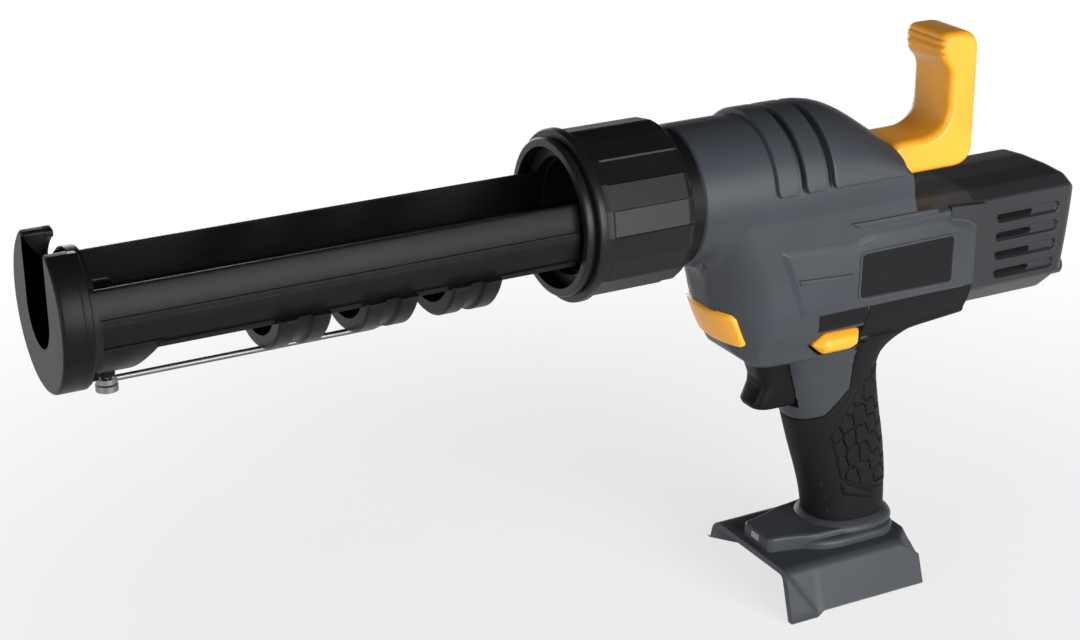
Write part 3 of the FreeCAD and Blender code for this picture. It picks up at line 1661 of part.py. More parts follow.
# Gearbox: a plate against the motor and a cover with the bush of the carrier's shaft.
def make_gearbox():
    plate_at = (motor_front_x, 0, motor_axis)
    plate = cylinder("X", S.gearbox_radius, S.motor_plate_length, plate_at)
    hole = cylinder("X", S.motor_plate_hole, S.motor_plate_length, plate_at)
    keep(cut(plate, hole), "motor_plate")
    end_start = cover_front_x - S.cover_end_wall
    bush_hole = S.bush_radius + S.seat_gap
    inner = S.gearbox_radius - S.cover_wall
    cover = turned(
        "X",
        [
            (ring_front_x, inner),
            (ring_front_x, S.gearbox_radius),
            (cover_front_x, S.gearbox_radius),
            (cover_front_x, bush_hole),
            (end_start, bush_hole),
            (end_start, inner),
        ],
        (0, 0, motor_axis),
    )
    keep(cover, "gearbox_cover")
    sleeve = cylinder("X", S.bush_radius, S.cover_end_wall, (end_start, 0, motor_axis))
    bore = cylinder("X", S.drive_shaft_radius + S.seat_gap, S.cover_end_wall, (end_start, 0, motor_axis))
    keep(cut(sleeve, bore), "carrier_bush")


def bevel_outline(teeth, cone_angle, phase):
    """Points of a bevel gear's wide end in the plane square to its axis, through its pitch circle."""
    module = float(S.bevel_module)
    play = float(S.tooth_play)
    pitch_radius = teeth * module / 2
    lean = math.cos(cone_angle)
    virtual = pitch_radius / lean
    tip = virtual + ADDENDUM_SHARE * module
    root = virtual - DEDENDUM_SHARE * module
    pitch_half = math.pi * lean / (2 * teeth) - play / (2 * virtual)
    points = []
    flank = []
    for r in tooth_radii(virtual, root, tip):
        here = pitch_radius + (r - virtual) / lean
        flank.append((here, half_angle(r, virtual, pitch_half) * r / here))
    for i in range(teeth):
        centre = phase + 2 * math.pi * i / teeth
        points += [(r, centre - a) for r, a in flank]
        points += [(r, centre + a) for r, a in reversed(flank)]
    return points


def tapered(points, apex, share):
    """Solid between a closed row of points and the same row drawn towards the apex."""
    near = [apex + (point - apex) * share for point in points]
    faces = [Part.Face(Part.makePolygon(row + row[:1])) for row in (points, near)]
    count = len(points)
    for i in range(count):
        j = (i + 1) % count
        faces.append(Part.Face(Part.makePolygon([points[i], points[j], near[j], near[i], points[i]])))
    solid = Part.Solid(Part.Shell(faces))
    if solid.Volume < 0:
        solid.reverse()
    return solid


# Bevel pair: the pinion turns the motor's axis into the cross shaft.
def make_bevels():
    module = float(S.bevel_module)
    pinion_radius = module * BEVEL_PINION_TEETH / 2
    gear_radius = module * BEVEL_GEAR_TEETH / 2
    pinion_cone = math.atan2(pinion_radius, gear_radius)
    gear_cone = math.pi / 2 - pinion_cone
    reach = math.hypot(pinion_radius, gear_radius)
    share = 1 - float(S.bevel_face) / reach
    x = float(S.shafts_x)
    z = float(cross_axis)
    apex = Vector(x, 0, z)
    pinion_x = x - gear_radius
    outline = bevel_outline(BEVEL_PINION_TEETH, pinion_cone, 0)
    head = tapered(about_x(outline, pinion_x, 0, z), apex, share)
    shaft_radius = float(S.drive_shaft_radius)
    shaft_start = float(pinion_shaft_x)
    shaft = bar_x(shaft_radius, shaft_start, pinion_x - shaft_start, 0, z)
    keep(shaped(head.fuse(shaft)), "bevel_pinion")
    gear_y = pinion_radius
    half_pitch = math.pi / BEVEL_GEAR_TEETH
    toward_pinion = -math.pi / 2
    ring = bevel_outline(BEVEL_GEAR_TEETH, gear_cone, toward_pinion + half_pitch)
    teeth = tapered(about_y(ring, x, gear_y, z), apex, share)
    back = float(S.bevel_back)
    root_radius = min(r for r, a in ring)
    hub = bar_y(root_radius, gear_y, back, x, z)
    bore_radius = shaft_radius + float(S.seat_gap / 2)
    bore = bar_y(bore_radius, apex.y, gear_y + back + float(S.overrun), x, z)
    keep(shaped(teeth.fuse(hub).cut(bore)), "bevel_gear")


# Spur pair between the shafts, and the pinion that drives the rack.
def make_spurs():
    shaft_hole = float(S.drive_shaft_radius + S.seat_gap / 2)
    x = float(S.shafts_x)
    low = float(cross_axis)
    high = float(upper_axis)
    length = float(S.spur_length)
    start = float(S.spur_side_y) - length / 2
    module = float(S.spur_module)
    play = float(S.tooth_play)
    sweep = Vector(0, length, 0)
    small_outline = gear_outline(SMALL_SPUR_TEETH, module, play, 0)
    small = prism(about_y(small_outline, x, start, low), sweep)
    keep(shaped(small.cut(bar_y(shaft_hole, start, length, x, low))), "small_spur")
    large_phase = mesh_phase(0, LARGE_SPUR_TEETH, SMALL_SPUR_TEETH, 0)
    large_outline = gear_outline(LARGE_SPUR_TEETH, module, play, large_phase)
    large = prism(about_y(large_outline, x, start, high), sweep)
    keep(shaped(large.cut(bar_y(shaft_hole, start, length, x, high))), "large_spur")
    wide_length = float(S.rack_pinion_length)
    rack_outline = gear_outline(RACK_PINION_TEETH, float(S.rack_module), play, 0)
    rack = prism(about_y(rack_outline, x, -wide_length / 2, high), Vector(0, wide_length, 0))
    keep(shaped(rack.cut(bar_y(shaft_hole, -wide_length / 2, wide_length, x, high))), "rack_pinion")


# Shafts across the housing, with a bush at each end, and the bush of the bevel pinion.
def make_shafts():
    span = 2 * S.shaft_half_length
    bushes = []
    for height, label in ((cross_axis, "cross_shaft"), (upper_axis, "upper_shaft")):
        keep(cross_hole(S.drive_shaft_radius, S.shafts_x, height, span / 2), label)
        bush_length = S.shaft_half_length - S.gear_cavity_half_width
        for start in (-S.shaft_half_length, S.gear_cavity_half_width):
            at = (S.shafts_x, start, height)
            sleeve = cylinder("Y", S.bush_radius, bush_length, at)
            bore = cylinder("Y", S.drive_shaft_radius + S.seat_gap, bush_length, at)
            bushes.append(cut(sleeve, bore))
    group = doc.addObject("Part::Compound", "bushes")
    group.Links = bushes
    keep(group, "shaft_bushes")
    at = (S.gear_cavity_rear_x - S.bevel_bush_length, 0, cross_axis)
    sleeve = cylinder("X", S.bush_radius, S.bevel_bush_length, at)
    bore = cylinder("X", S.drive_shaft_radius + S.seat_gap, S.bevel_bush_length, at)
    keep(cut(sleeve, bore), "bevel_bush")


# Trigger with a hollow front, its return spring and the switch behind it.
def make_trigger():
    outline = [
        (S.trigger_rear_x, trigger_low),
        (S.trigger_foot_x, trigger_low),
        (S.trigger_lip_x, trigger_top - S.trigger_lip_drop),
        (S.trigger_waist_x, trigger_top - S.trigger_waist_drop),
        (S.trigger_top_x, trigger_top),
        (S.trigger_rear_x, trigger_top),
    ]
    keep(padded("XZ", outline, 2 * S.trigger_half_width), "trigger")
    middle = (trigger_top + trigger_low) / 2
    gap = S.trigger_rear_x - S.switch_front_x
    at = (S.switch_front_x, 0, middle)
    coil = cylinder("X", S.spring_radius, gap, at)
    bore = cylinder("X", S.spring_bore, gap, at)
    keep(cut(coil, bore), "trigger_spring")
    body = box(
        (S.switch_rear_x, -S.switch_half_width, switch_low),
        (S.switch_front_x - S.switch_rear_x, 2 * S.switch_half_width, S.switch_height),
    )
    keep(body, "trigger_switch")


# Lock-off: a bolt across the neck with a broad orange button on the left end.
def lock_bolt(gap):
    low = lock_middle - S.lock_bolt_tallness / 2
    return box(
        (S.lock_x - S.lock_bolt_length / 2 - gap, -S.lock_half_span, low - gap),
        (S.lock_bolt_length + 2 * gap, 2 * S.lock_half_span, S.lock_bolt_tallness + 2 * gap),
    )


def lock_head(gap, start_y, end_y):
    half = S.lock_length / 2 + gap
    tall = S.lock_tallness / 2 + gap
    corner = S.lock_tallness / 2
    outline = [
        (S.lock_x - half, lock_middle + tall),
        (S.lock_x - half, lock_middle - tall + corner / 2),
        (S.lock_x - half + corner, lock_middle - tall),
        (S.lock_x + half - corner, lock_middle - tall),
        (S.lock_x + half, lock_middle),
        (S.lock_x + half - corner, lock_middle + tall),
    ]
    return padded("XZ", outline, end_y - start_y, (0, (start_y + end_y) / 2, 0))


def lock_way():
    room_start = S.lock_half_span - 2 * S.lock_travel
    return fuse(lock_bolt(S.run_gap), lock_head(S.run_gap, room_start - S.lock_travel, S.foot_half_width))


def make_lock():
    room_start = S.lock_half_span - 2 * S.lock_travel
    keep(fuse(lock_head(dim_of(0), room_start, S.lock_half_span), lock_bolt(dim_of(0))), "lock_off_button")


# Release button in the chin. Its face follows the chin's slope and it is pushed straight in.
def release_frame():
    """The slope of the chin as a unit step down it and a unit step out of it."""
    run = float(S.release_top_x - S.release_low_x)
    drop = float(S.release_low_drop - S.release_top_drop)
    length = math.hypot(run, drop)
    return (-run / length, -drop / length), (drop / length, -run / length)


def release_block(gap, inside, outside):
    down, out = release_frame()
    corners = []
    ends = ((S.release_top_x, S.release_top_drop, -1), (S.release_low_x, S.release_low_drop, 1))
    for x, drop, end in ends:
        for reach in (inside, outside):
            corners.append(
                (
                    x + (end * gap) * down[0] + reach * out[0],
                    axis - drop + (end * gap) * down[1] + reach * out[1],
                )
            )
    order = (0, 1, 3, 2)
    return padded("XZ", [corners[i] for i in order], 2 * S.release_half_width + 2 * gap)


def release_way():
    inside = -S.release_depth - S.release_travel - S.run_gap
    return release_block(S.run_gap, inside, S.release_proud + S.overrun)


def make_release():
    keep(release_block(dim_of(0), -S.release_depth, S.release_proud), "release_button")
    down, out = release_frame()
    x = (S.release_top_x + S.release_low_x) / 2
    height = axis - (S.release_top_drop + S.release_low_drop) / 2
    length = S.release_travel + S.run_gap
    reach = S.release_depth + length
    tilt = Rotation(DIRECTIONS["Z"], Vector(out[0], 0, out[1]))
    rings = []
    for radius in (S.spring_radius, S.spring_bore):
        bar = doc.addObject("Part::Cylinder", "coil")
        bind(bar, "Radius", radius)
        bind(bar, "Height", length)
        rings.append(place(bar, (x - reach * out[0], 0, height - reach * out[1]), tilt))
    keep(cut(*rings), "release_spring")


# Electrics: the board in the grip, the lamp's lens, and the battery terminals under the foot.
def make_electrics():
    board = box(
        (S.board_rear_x, -S.board_thickness / 2, board_floor),
        (S.board_front_x - S.board_rear_x, S.board_thickness, board_tall),
    )
    keep(board, "control_board")
    lens = box(
        (S.lamp_box_front_x - S.lens_depth, -S.lens_width / 2, S.foot_top_height + S.lens_rise),
        (S.lens_depth, S.lens_width, S.lens_height),
    )
    keep(lens, "lamp_lens")
    block_low = S.foot_top_height - S.foot_wall - S.terminal_height
    start_x = S.terminal_length / 2 - S.blade_length
    slot_width = S.blade_pitch * BLADE_SLOT_SHARE
    block = box(
        (-S.terminal_length / 2, -S.terminal_half_width, block_low),
        (S.terminal_length, 2 * S.terminal_half_width, S.terminal_height),
    )
    slots = []
    blades = []
    for i in range(BLADE_COUNT):
        y = (i - (BLADE_COUNT - 1) / 2) * S.blade_pitch
        blades.append(
            box(
                (start_x, y - S.blade_thickness / 2, block_low + S.blade_height / 2),
                (S.blade_length, S.blade_thickness, S.blade_height),
            )
        )
        slots.append(
            box(
                (start_x, y - slot_width / 2, block_low - S.overrun),
                (S.blade_length + S.overrun, slot_width, S.blade_height * BLADE_ROOM_SHARE + S.overrun),
            )
        )
    keep(cut(block, *slots), "terminal_block")
    group = doc.addObject("Part::Compound", "blades")
    group.Links = blades
    keep(group, "terminal_blades")


make_cradle_tray()
make_front_cap()
make_seal_pin()
make_lock_collar()
make_spigot()
make_piston_rod()
make_plunger()
make_handle()
make_housing()
make_rear_bush()
make_housing_screws()
for side, hand in ((1, "left"), (-1, "right")):
    make_rubber(side, "grip_rubber_" + hand)
    make_name_plate(side, "name_plate_" + hand)
make_rear_cap()
make_cap_screws()
make_motor()
make_gearbox()
make_planetary()
make_bevels()
make_spurs()
make_shafts()
make_trigger()
make_lock()
make_release()
make_electrics()

doc.recompute()
failed = [thing.Label for thing in doc.Objects if {"Invalid", "Error"} & set(thing.State)]
failed += [node.Label for node in NODES if node.Shape.isNull() or not node.Shape.isValid()]
if failed:
    raise RuntimeError("no valid shape: " + ", ".join(failed))

os.makedirs("parts", exist_ok=True)
for node in NODES:
    node.Shape.exportStep("parts/%s.step" % node.Label)
    print("%s: %d solids, %.0f mm3" % (node.Label, len(node.Shape.Solids), node.Shape.Volume))
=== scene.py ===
# %% [markdown]
# # A cordless caulking tool, dressed for the camera
# The solids of this tool come from a CAD model: cradle, rod, gears, motor, housing halves and the rest.
# This lesson loads them as a fixed frame, and builds the visible skins around them as surfaces of numbers.
# +X runs forward along the barrel, +Y to the tool's left and +Z up. Shapes are worked out in millimetres.

# %% Load the frame
import json
import math

import bmesh
import bpy
from mathutils import Matrix, Vector
import numpy as np
from numpy import concatenate as join, cos, linspace, pi, radians, sin
from numpy.linalg import norm

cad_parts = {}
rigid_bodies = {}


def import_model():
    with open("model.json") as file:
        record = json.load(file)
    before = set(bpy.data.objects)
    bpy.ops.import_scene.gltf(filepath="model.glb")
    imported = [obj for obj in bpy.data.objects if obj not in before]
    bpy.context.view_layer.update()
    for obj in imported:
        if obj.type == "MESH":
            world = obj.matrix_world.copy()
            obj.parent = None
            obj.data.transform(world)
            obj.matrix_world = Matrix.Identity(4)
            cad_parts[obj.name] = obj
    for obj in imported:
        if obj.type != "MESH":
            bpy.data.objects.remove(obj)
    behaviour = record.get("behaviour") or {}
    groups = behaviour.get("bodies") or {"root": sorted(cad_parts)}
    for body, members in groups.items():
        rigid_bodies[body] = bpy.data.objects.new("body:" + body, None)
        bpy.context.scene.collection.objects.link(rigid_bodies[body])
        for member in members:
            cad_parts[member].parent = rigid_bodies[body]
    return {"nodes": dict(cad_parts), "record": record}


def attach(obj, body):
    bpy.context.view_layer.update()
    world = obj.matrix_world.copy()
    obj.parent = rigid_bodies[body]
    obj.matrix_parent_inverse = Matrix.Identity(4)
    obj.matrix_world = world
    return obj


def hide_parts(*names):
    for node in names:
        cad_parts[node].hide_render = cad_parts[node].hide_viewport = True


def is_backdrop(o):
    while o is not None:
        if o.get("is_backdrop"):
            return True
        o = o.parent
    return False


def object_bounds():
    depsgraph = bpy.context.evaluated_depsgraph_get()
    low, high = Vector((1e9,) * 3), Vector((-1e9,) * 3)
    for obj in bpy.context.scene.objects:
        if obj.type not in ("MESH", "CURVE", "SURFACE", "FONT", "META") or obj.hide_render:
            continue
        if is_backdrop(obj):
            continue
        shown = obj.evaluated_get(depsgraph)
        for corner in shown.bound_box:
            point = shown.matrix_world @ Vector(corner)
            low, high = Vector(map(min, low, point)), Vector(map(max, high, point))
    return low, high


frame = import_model()
cad_low, cad_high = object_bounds()
MM = 0.001
scene = bpy.context.scene


def added(name, data):
    """A new object in the scene."""
    thing = bpy.data.objects.new(name, data)
    scene.collection.objects.link(thing)
    return thing


# %% [markdown]
# ## Camera
# The camera stands where the photograph was taken from: to the tool's left, a little in front and above.
# Its three directions were fitted to straight edges of the real tool, so they are written as they are.

# %% Camera
CAMERA_PLACE = Vector((0.55867, 0.78230, 0.51218))
CAMERA_RIGHT = Vector((-0.88314, 0.46903, -0.00843))
CAMERA_UP = Vector((-0.18094, -0.32400, 0.92859))
IMAGE_WIDTH = 1080
FOCAL_PIXELS = 2242.7

lens_data = bpy.data.cameras.new("camera")
lens_data.sensor_width = 36
lens_data.lens = FOCAL_PIXELS / IMAGE_WIDTH * lens_data.sensor_width
camera = added("camera", lens_data)
turn = Matrix((CAMERA_RIGHT, CAMERA_UP, CAMERA_RIGHT.cross(CAMERA_UP))).transposed()
camera.matrix_world = Matrix.Translation(CAMERA_PLACE) @ turn.to_4x4()
scene.camera = camera
scene.view_settings.view_transform = "Standard"
print("camera lens:", round(lens_data.lens, 2), "mm")


# %% [markdown]
# ## Materials as expressions
# A material is a small calculation that runs at every point of a surface.
# As a chain of nodes it is hard to read, so a wire from a node behaves like a number here:
# adding or multiplying wires adds the Math nodes for it.

# %% Wires and finishes
class Wire:
    """A value that a node gives out."""

    def __init__(self, finish, socket):
        self.finish = finish
        self.socket = socket

    def combine(self, operation, other):
        return self.finish.wire("Value", "Math", {0: self, 1: other}, operation=operation)

    def __add__(self, other):
        return self.combine("ADD", other)

    def __sub__(self, other):
        return self.combine("SUBTRACT", other)

    def __mul__(self, other):
        return self.combine("MULTIPLY", other)

    __radd__ = __add__

    def ramp(self, low, high, start=0.0, end=1.0):
        """Goes smoothly from start to end while the value goes from low to high."""
        sockets = {"Value": self, "From Min": low, "From Max": high, "To Min": start, "To Max": end}
        return self.finish.wire("Result", "MapRange", sockets, interpolation_type="SMOOTHSTEP")


class Finish:
    """One material, with a method that makes any node in it."""

    def __init__(self, name, tree=None):
        self.material = None
        if tree is None:
            self.material = bpy.data.materials.new(name)
            self.material.use_nodes = True
            tree = self.material.node_tree
        self.tree = tree
        self.tree.nodes.clear()

    def node(self, kind, sockets=None, **settings):
        """A new node. Its sockets take wires or plain values."""
        made = self.tree.nodes.new("ShaderNode" + kind)
        for key, value in settings.items():
            setattr(made, key, value)
        for key, value in (sockets or {}).items():
            if isinstance(value, Wire):
                self.tree.links.new(value.socket, made.inputs[key])
            else:
                made.inputs[key].default_value = value
        return made

    def wire(self, output, kind, sockets=None, **settings):
        """One output of a new node."""
        return Wire(self, self.node(kind, sockets, **settings).outputs[output])

    def place(self, stretch=(1, 1, 1)):
        """Object coordinates in metres, stretched along each axis."""
        sockets = {"Vector": self.wire("Object", "TexCoord"), "Scale": stretch}
        return self.wire("Vector", "Mapping", sockets, vector_type="POINT")

    def noise(self, scale, detail=2.0, stretch=(1, 1, 1)):
        return self.wire("Fac", "TexNoise", {"Vector": self.place(stretch), "Scale": scale, "Detail": detail})

    def tint(self, share, first, second):
        """A colour between two others."""
        return self.wire(2, "Mix", {"Factor": share, 6: first, 7: second}, data_type="RGBA")

    def edge_wear(self):
        """Near 1 where the surface turns outwards, near 0 elsewhere."""
        return self.wire("Pointiness", "NewGeometry").ramp(0.53, 0.62)

    def bump(self, height, strength, depth):
        return self.wire("Normal", "Bump", {"Height": height, "Strength": strength, "Distance": depth})

    def surface(self, sockets):
        self.node("OutputMaterial", {"Surface": self.wire(0, "BsdfPrincipled", sockets)})
        return self.material


def colour(red, green, blue):
    return (red, green, blue, 1.0)


def lighter(tone, share):
    return colour(*[min(1.0, part * share) for part in tone])


# %% [markdown]
# ## Moulded plastics, rubber and metals
# Moulded plastic has a fine even grain from the spark-eroded mould, slow changes of gloss,
# and edges that hands have polished a little lighter. The same recipe gives slate, black and orange parts.
# Rubber is duller with a coarser grain. Plated steel shows fine streaks along the way it was drawn.

# %% Finishes
def moulded(name, tone, rough, grain=1600.0, depth=0.00012, specular=0.4, wear=1.7, coat=0.0):
    finish = Finish(name)
    fine = finish.noise(grain, 3.0)
    slow = finish.noise(22.0, 3.0)
    blotch = finish.noise(140.0, 2.0)
    base = finish.tint(slow.ramp(0.3, 0.7), lighter(tone, 0.92), lighter(tone, 1.08))
    polish = finish.edge_wear() * blotch.ramp(0.25, 0.65, 0.25, 1.0)
    return finish.surface({
        "Base Color": finish.tint(polish, base, lighter(tone, wear)),
        "Roughness": rough + (slow - 0.5) * 0.10 + (fine - 0.5) * 0.14,
        "Specular IOR Level": specular,
        "Coat Weight": coat,
        "Coat Roughness": 0.25,
        "Normal": finish.bump(fine, 0.35, depth),
    })


def drawn_metal(name, tone, rough, stretch):
    finish = Finish(name)
    streak = finish.noise(900.0, 4.0, stretch)
    slow = finish.noise(60.0, 3.0)
    base = finish.tint(streak, lighter(tone, 0.8), lighter(tone, 1.12))
    return finish.surface({
        "Base Color": finish.tint(finish.edge_wear(), base, lighter(tone, 1.3)),
        "Metallic": 1.0,
        "Roughness": rough + (streak - 0.5) * 0.22 + (slow - 0.5) * 0.12,
        "Normal": finish.bump(streak, 0.25, 0.00008),
    })


def clear_lens(name):
    finish = Finish(name)
    haze = finish.noise(300.0, 2.0)
    return finish.surface({
        "Base Color": finish.tint(haze, colour(0.80, 0.84, 0.88), colour(0.93, 0.95, 0.97)),
        "Roughness": 0.08 + haze * 0.08,
        "Transmission Weight": 0.75,
        "IOR": 1.49,
    })


DRAWN_ALONG_X = (0.06, 1.0, 1.0)
BY_SLOT = {
    "slate_plastic": moulded("slate_plastic", (0.040, 0.044, 0.052), 0.42, specular=0.25),
    "black_plastic": moulded("black_plastic", (0.0050, 0.0050, 0.0055), 0.38, specular=0.10, wear=2.6),
    "orange_plastic": moulded("orange_plastic", (0.92, 0.40, 0.025), 0.36, 2200.0, 0.00006, 0.42, 1.15, 0.1),
    "rubber": moulded("grip_rubber", (0.009, 0.009, 0.010), 0.58, 1100.0, 0.00022, 0.10, 2.4),
    "plate_black": moulded("plate_black", (0.005, 0.005, 0.006), 0.28, 2600.0, 0.00003, 0.2, 2.5),
    "nylon": moulded("natural_nylon", (0.70, 0.68, 0.62), 0.5),
    "board_green": moulded("board_green", (0.02, 0.13, 0.06), 0.35, 500.0, 0.00006),
    "zinc_steel": drawn_metal("zinc_steel", (0.36, 0.37, 0.38), 0.38, DRAWN_ALONG_X),
    "gear_steel": drawn_metal("gear_steel", (0.42, 0.42, 0.43), 0.36, (1.0, 0.08, 1.0)),
    "bronze": drawn_metal("bronze", (0.55, 0.36, 0.17), 0.45, (1.0, 1.0, 1.0)),
    "lens_clear": clear_lens("lens_clear"),
}
# Finishes of single parts, a little apart from their slot's.
CAP = moulded("cap_plastic", (0.025, 0.026, 0.029), 0.40, specular=0.25)
COLLAR = moulded("collar_plastic", (0.0065, 0.0065, 0.0075), 0.36, specular=0.22)
DARK_STEEL = drawn_metal("oxide_steel", (0.030, 0.030, 0.032), 0.38, DRAWN_ALONG_X)
WIRE = drawn_metal("wire_steel", (0.16, 0.16, 0.17), 0.42, DRAWN_ALONG_X)
for part in frame["record"]["subparts"]:
    mesh = frame["nodes"][part["node"]].data
    mesh.materials.clear()
    mesh.materials.append(BY_SLOT[part["material_slot"]])
for node, finish in (("piston_rod", DARK_STEEL), ("seal_pin", WIRE), ("seal_pin_screw", WIRE)):
    frame["nodes"][node].data.materials[0] = finish
print("finishes by slot:", len(BY_SLOT))


# %% [markdown]
# ## Floor, background and lamps
# The floor is a wide sheet that fades to plain white, so that it meets the white background without a line.
# The camera and mirror-like rays see white. The light on the tool comes from the lamps and a dim sky.
# The photograph is lit from the side, with little light from above, which leaves upward faces dark.

# %% Stage
def background_rays(finish):
    """1 for rays from the camera, from gloss and through glass, 0 for the light that falls on things."""
    names = ("Is Camera Ray", "Is Glossy Ray", "Is Transmission Ray")
    camera_ray, gloss_ray, glass_ray = [finish.wire(name, "LightPath") for name in names]
    return (camera_ray + gloss_ray + glass_ray).ramp(0.0, 1.0)


def floor_finish():
    finish = Finish("floor_white")
    ends = {0: finish.place(), 1: (0.1, 0.0, 0.0)}
    away = finish.wire("Value", "VectorMath", ends, operation="DISTANCE").ramp(0.15, 0.60, 0.72, 1.0)
    tone = finish.tint(finish.noise(40.0), colour(0.80, 0.80, 0.80), colour(0.84, 0.84, 0.84))
    matt = finish.wire(0, "BsdfDiffuse", {"Color": tone})
    white = finish.wire(0, "Emission", {"Color": colour(1, 1, 1), "Strength": 1.0})
    mix = finish.wire(0, "MixShader", {0: away * background_rays(finish), 1: matt, 2: white})
    finish.node("OutputMaterial", {"Surface": mix})
    return finish.material


FLOOR_REACH = 4.0
floor_mesh = bpy.data.meshes.new("floor")
floor_signs = ((-1, -1), (1, -1), (1, 1), (-1, 1))
floor_corners = [(x * FLOOR_REACH, y * FLOOR_REACH, cad_low.z) for x, y in floor_signs]
floor_mesh.from_pydata(floor_corners, [], [(0, 1, 2, 3)])
floor_mesh.materials.append(floor_finish())
floor = added("floor", floor_mesh)
floor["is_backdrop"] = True

sky = bpy.data.worlds.new("sky")
scene.world = sky
sky.use_nodes = True
sky_finish = Finish("sky", sky.node_tree)
SKY_LIGHT = 0.06
direction = sky_finish.wire("Generated", "TexCoord")
backdrop = sky_finish.wire("Z", "SeparateXYZ", {0: direction}).ramp(0.02, 0.20, 1.0, 0.04)
strength = SKY_LIGHT + background_rays(sky_finish) * (backdrop - SKY_LIGHT)
background = sky_finish.wire(0, "Background", {"Color": colour(1, 1, 1), "Strength": strength})
sky_finish.node("OutputWorld", {"Surface": background})

TOOL_MIDDLE = Vector((0.1, 0.0, 0.16))


def lamp(name, place, size, power):
    """A square soft light at a place, turned to face the tool."""
    data = bpy.data.lights.new(name, "AREA")
    data.size = size
    data.energy = power
    facing = (TOOL_MIDDLE - Vector(place)).to_track_quat("-Z", "Y")
    added(name, data).matrix_world = Matrix.Translation(place) @ facing.to_matrix().to_4x4()


lamp("side_light", (-0.25, 1.7, 0.5), 1.2, 48)
lamp("front_light", (1.7, 0.5, 0.4), 0.9, 12)
lamp("far_light", (0.1, -1.8, 0.2), 1.0, 14)
print("stage: floor, sky and", len(bpy.data.lights), "lamps")

# %% [markdown]
# ## Tools for surfaces
# Every new piece is a sheet of points in rows, joined by quads. Each row is a ring that closes on itself,
# and the first and last rings are closed by a cap. Outlines get rounded corners, and a plate made from an
# outline gets a rounded rim, because a moulded part never has a razor edge and the rim catches the light.

# %% Curves and outlines
AXIS = 204.0
# The share of an edge that a corner's curve may take.
CORNER_SHARE = 0.48
# Which of an outline's two numbers and its level become X, Y and Z, named after the way the level goes.
ALONG_X = [2, 0, 1]
ALONG_Y = [0, 2, 1]
ALONG_Z = [0, 1, 2]


def smooth(value):
    """From 0 to 1 as the value does, with a soft start and end."""
    value = np.clip(value, 0, 1)
    return value * value * (3 - 2 * value)


def quarter(value):
    """From 0 to 1 as the value does, along a quarter circle: steep at first, level at the end."""
    return np.sqrt(1 - (1 - np.clip(value, 0, 1)) ** 2)


def raised(value, power):
    """The value raised to a power, with its sign kept."""
    return np.sign(value) * np.abs(value) ** power


def follow(line, place):
    """The second number of a line where its first number is the place."""
    return np.interp(place, line[:, 0], line[:, 1])


def round_line(radius, angle, middle=(0, 0)):
    """Points at a radius and angles round a middle."""
    return np.column_stack([radius * cos(angle), radius * sin(angle)]) + middle


def rounded(corners, radius, steps=6, closed=True):
    """A line whose corners become curves that start and end one radius away."""
    corners = np.asarray(corners, float)
    before = np.roll(corners, 1, axis=0) - corners
    after = np.roll(corners, -1, axis=0) - corners
    long_before = norm(before, axis=1)
    long_after = norm(after, axis=1)
    reach = np.minimum(radius, CORNER_SHARE * np.minimum(long_before, long_after))
    if not closed:
        reach[[0, -1]] = 0
    start = corners + before * (reach / long_before)[:, None]
    end = corners + after * (reach / long_after)[:, None]
    t = linspace(0, 1, steps)[None, :, None]
    curve = (1 - t) ** 2 * start[:, None] + 2 * t * (1 - t) * corners[:, None] + t ** 2 * end[:, None]
    curve = curve.reshape(-1, 2)
    step = norm(curve - np.roll(curve, 1, axis=0), axis=1)
    return curve[step > 1e-6]


def inward_of(along, outline):
    """Directions at right angles to those along a closed outline, pointing to its inside."""
    ahead = np.roll(outline, -1, axis=0)
    area = np.sum(outline[:, 0] * ahead[:, 1] - outline[:, 1] * ahead[:, 0])
    return np.stack([-along[:, 1], along[:, 0]], axis=1) * np.sign(area)


def inset(outline, amount):
    """The closed outline drawn in: every point moves along its inward normal."""
    inward = inward_of(np.roll(outline, -1, axis=0) - np.roll(outline, 1, axis=0), outline)
    return outline + inward / norm(inward, axis=1, keepdims=True) * amount


def drawn_in(corners, amount):
    """The closed outline of straight edges drawn in: every edge moves inwards and the corners follow."""
    corners = np.asarray(corners, float)
    along = np.roll(corners, -1, axis=0) - corners
    inward = inward_of(along / norm(along, axis=1, keepdims=True), corners)
    before = np.roll(inward, 1, axis=0)
    return corners + (before + inward) / (1 + np.sum(before * inward, axis=1, keepdims=True)) * amount


def within(points, corners):
    """How far points lie inside a convex clockwise outline: the least distance to its edges' lines."""
    corners = np.asarray(corners, float)
    along = np.roll(corners, -1, axis=0) - corners
    inward = np.stack([along[:, 1], -along[:, 0]], axis=1) / norm(along, axis=1, keepdims=True)
    away = points[..., None, :] - corners
    return np.sum(away * inward, axis=-1).min(axis=-1)


# %% Skins, plates and pieces
def sheet(x, y, z):
    """Points in rows from three grids of numbers. One that is a row, a column or a number is repeated."""
    return np.stack(np.broadcast_arrays(x, y, z), axis=-1)


def skin(rings, loop=False):
    """Quads between neighbouring rings. The end rings are joined in a loop, or closed with one face each."""
    rows, count = rings.shape[:2]
    index = np.arange(rows * count).reshape(rows, count)
    caps = [] if loop else [index[0].tolist(), index[-1].tolist()]
    index = join([index, index[:, :1]], axis=1)
    if loop:
        index = join([index, index[:1]], axis=0)
    quads = np.stack([index[:-1, :-1], index[1:, :-1], index[1:, 1:], index[:-1, 1:]], axis=-1)
    return rings.reshape(-1, 3), quads.reshape(-1, 4).tolist() + caps


def plate(outer, inner):
    """A curved plate: each row of its outer face runs on into the same row of its inner face."""
    return skin(join([outer, inner[:, ::-1]], axis=1))


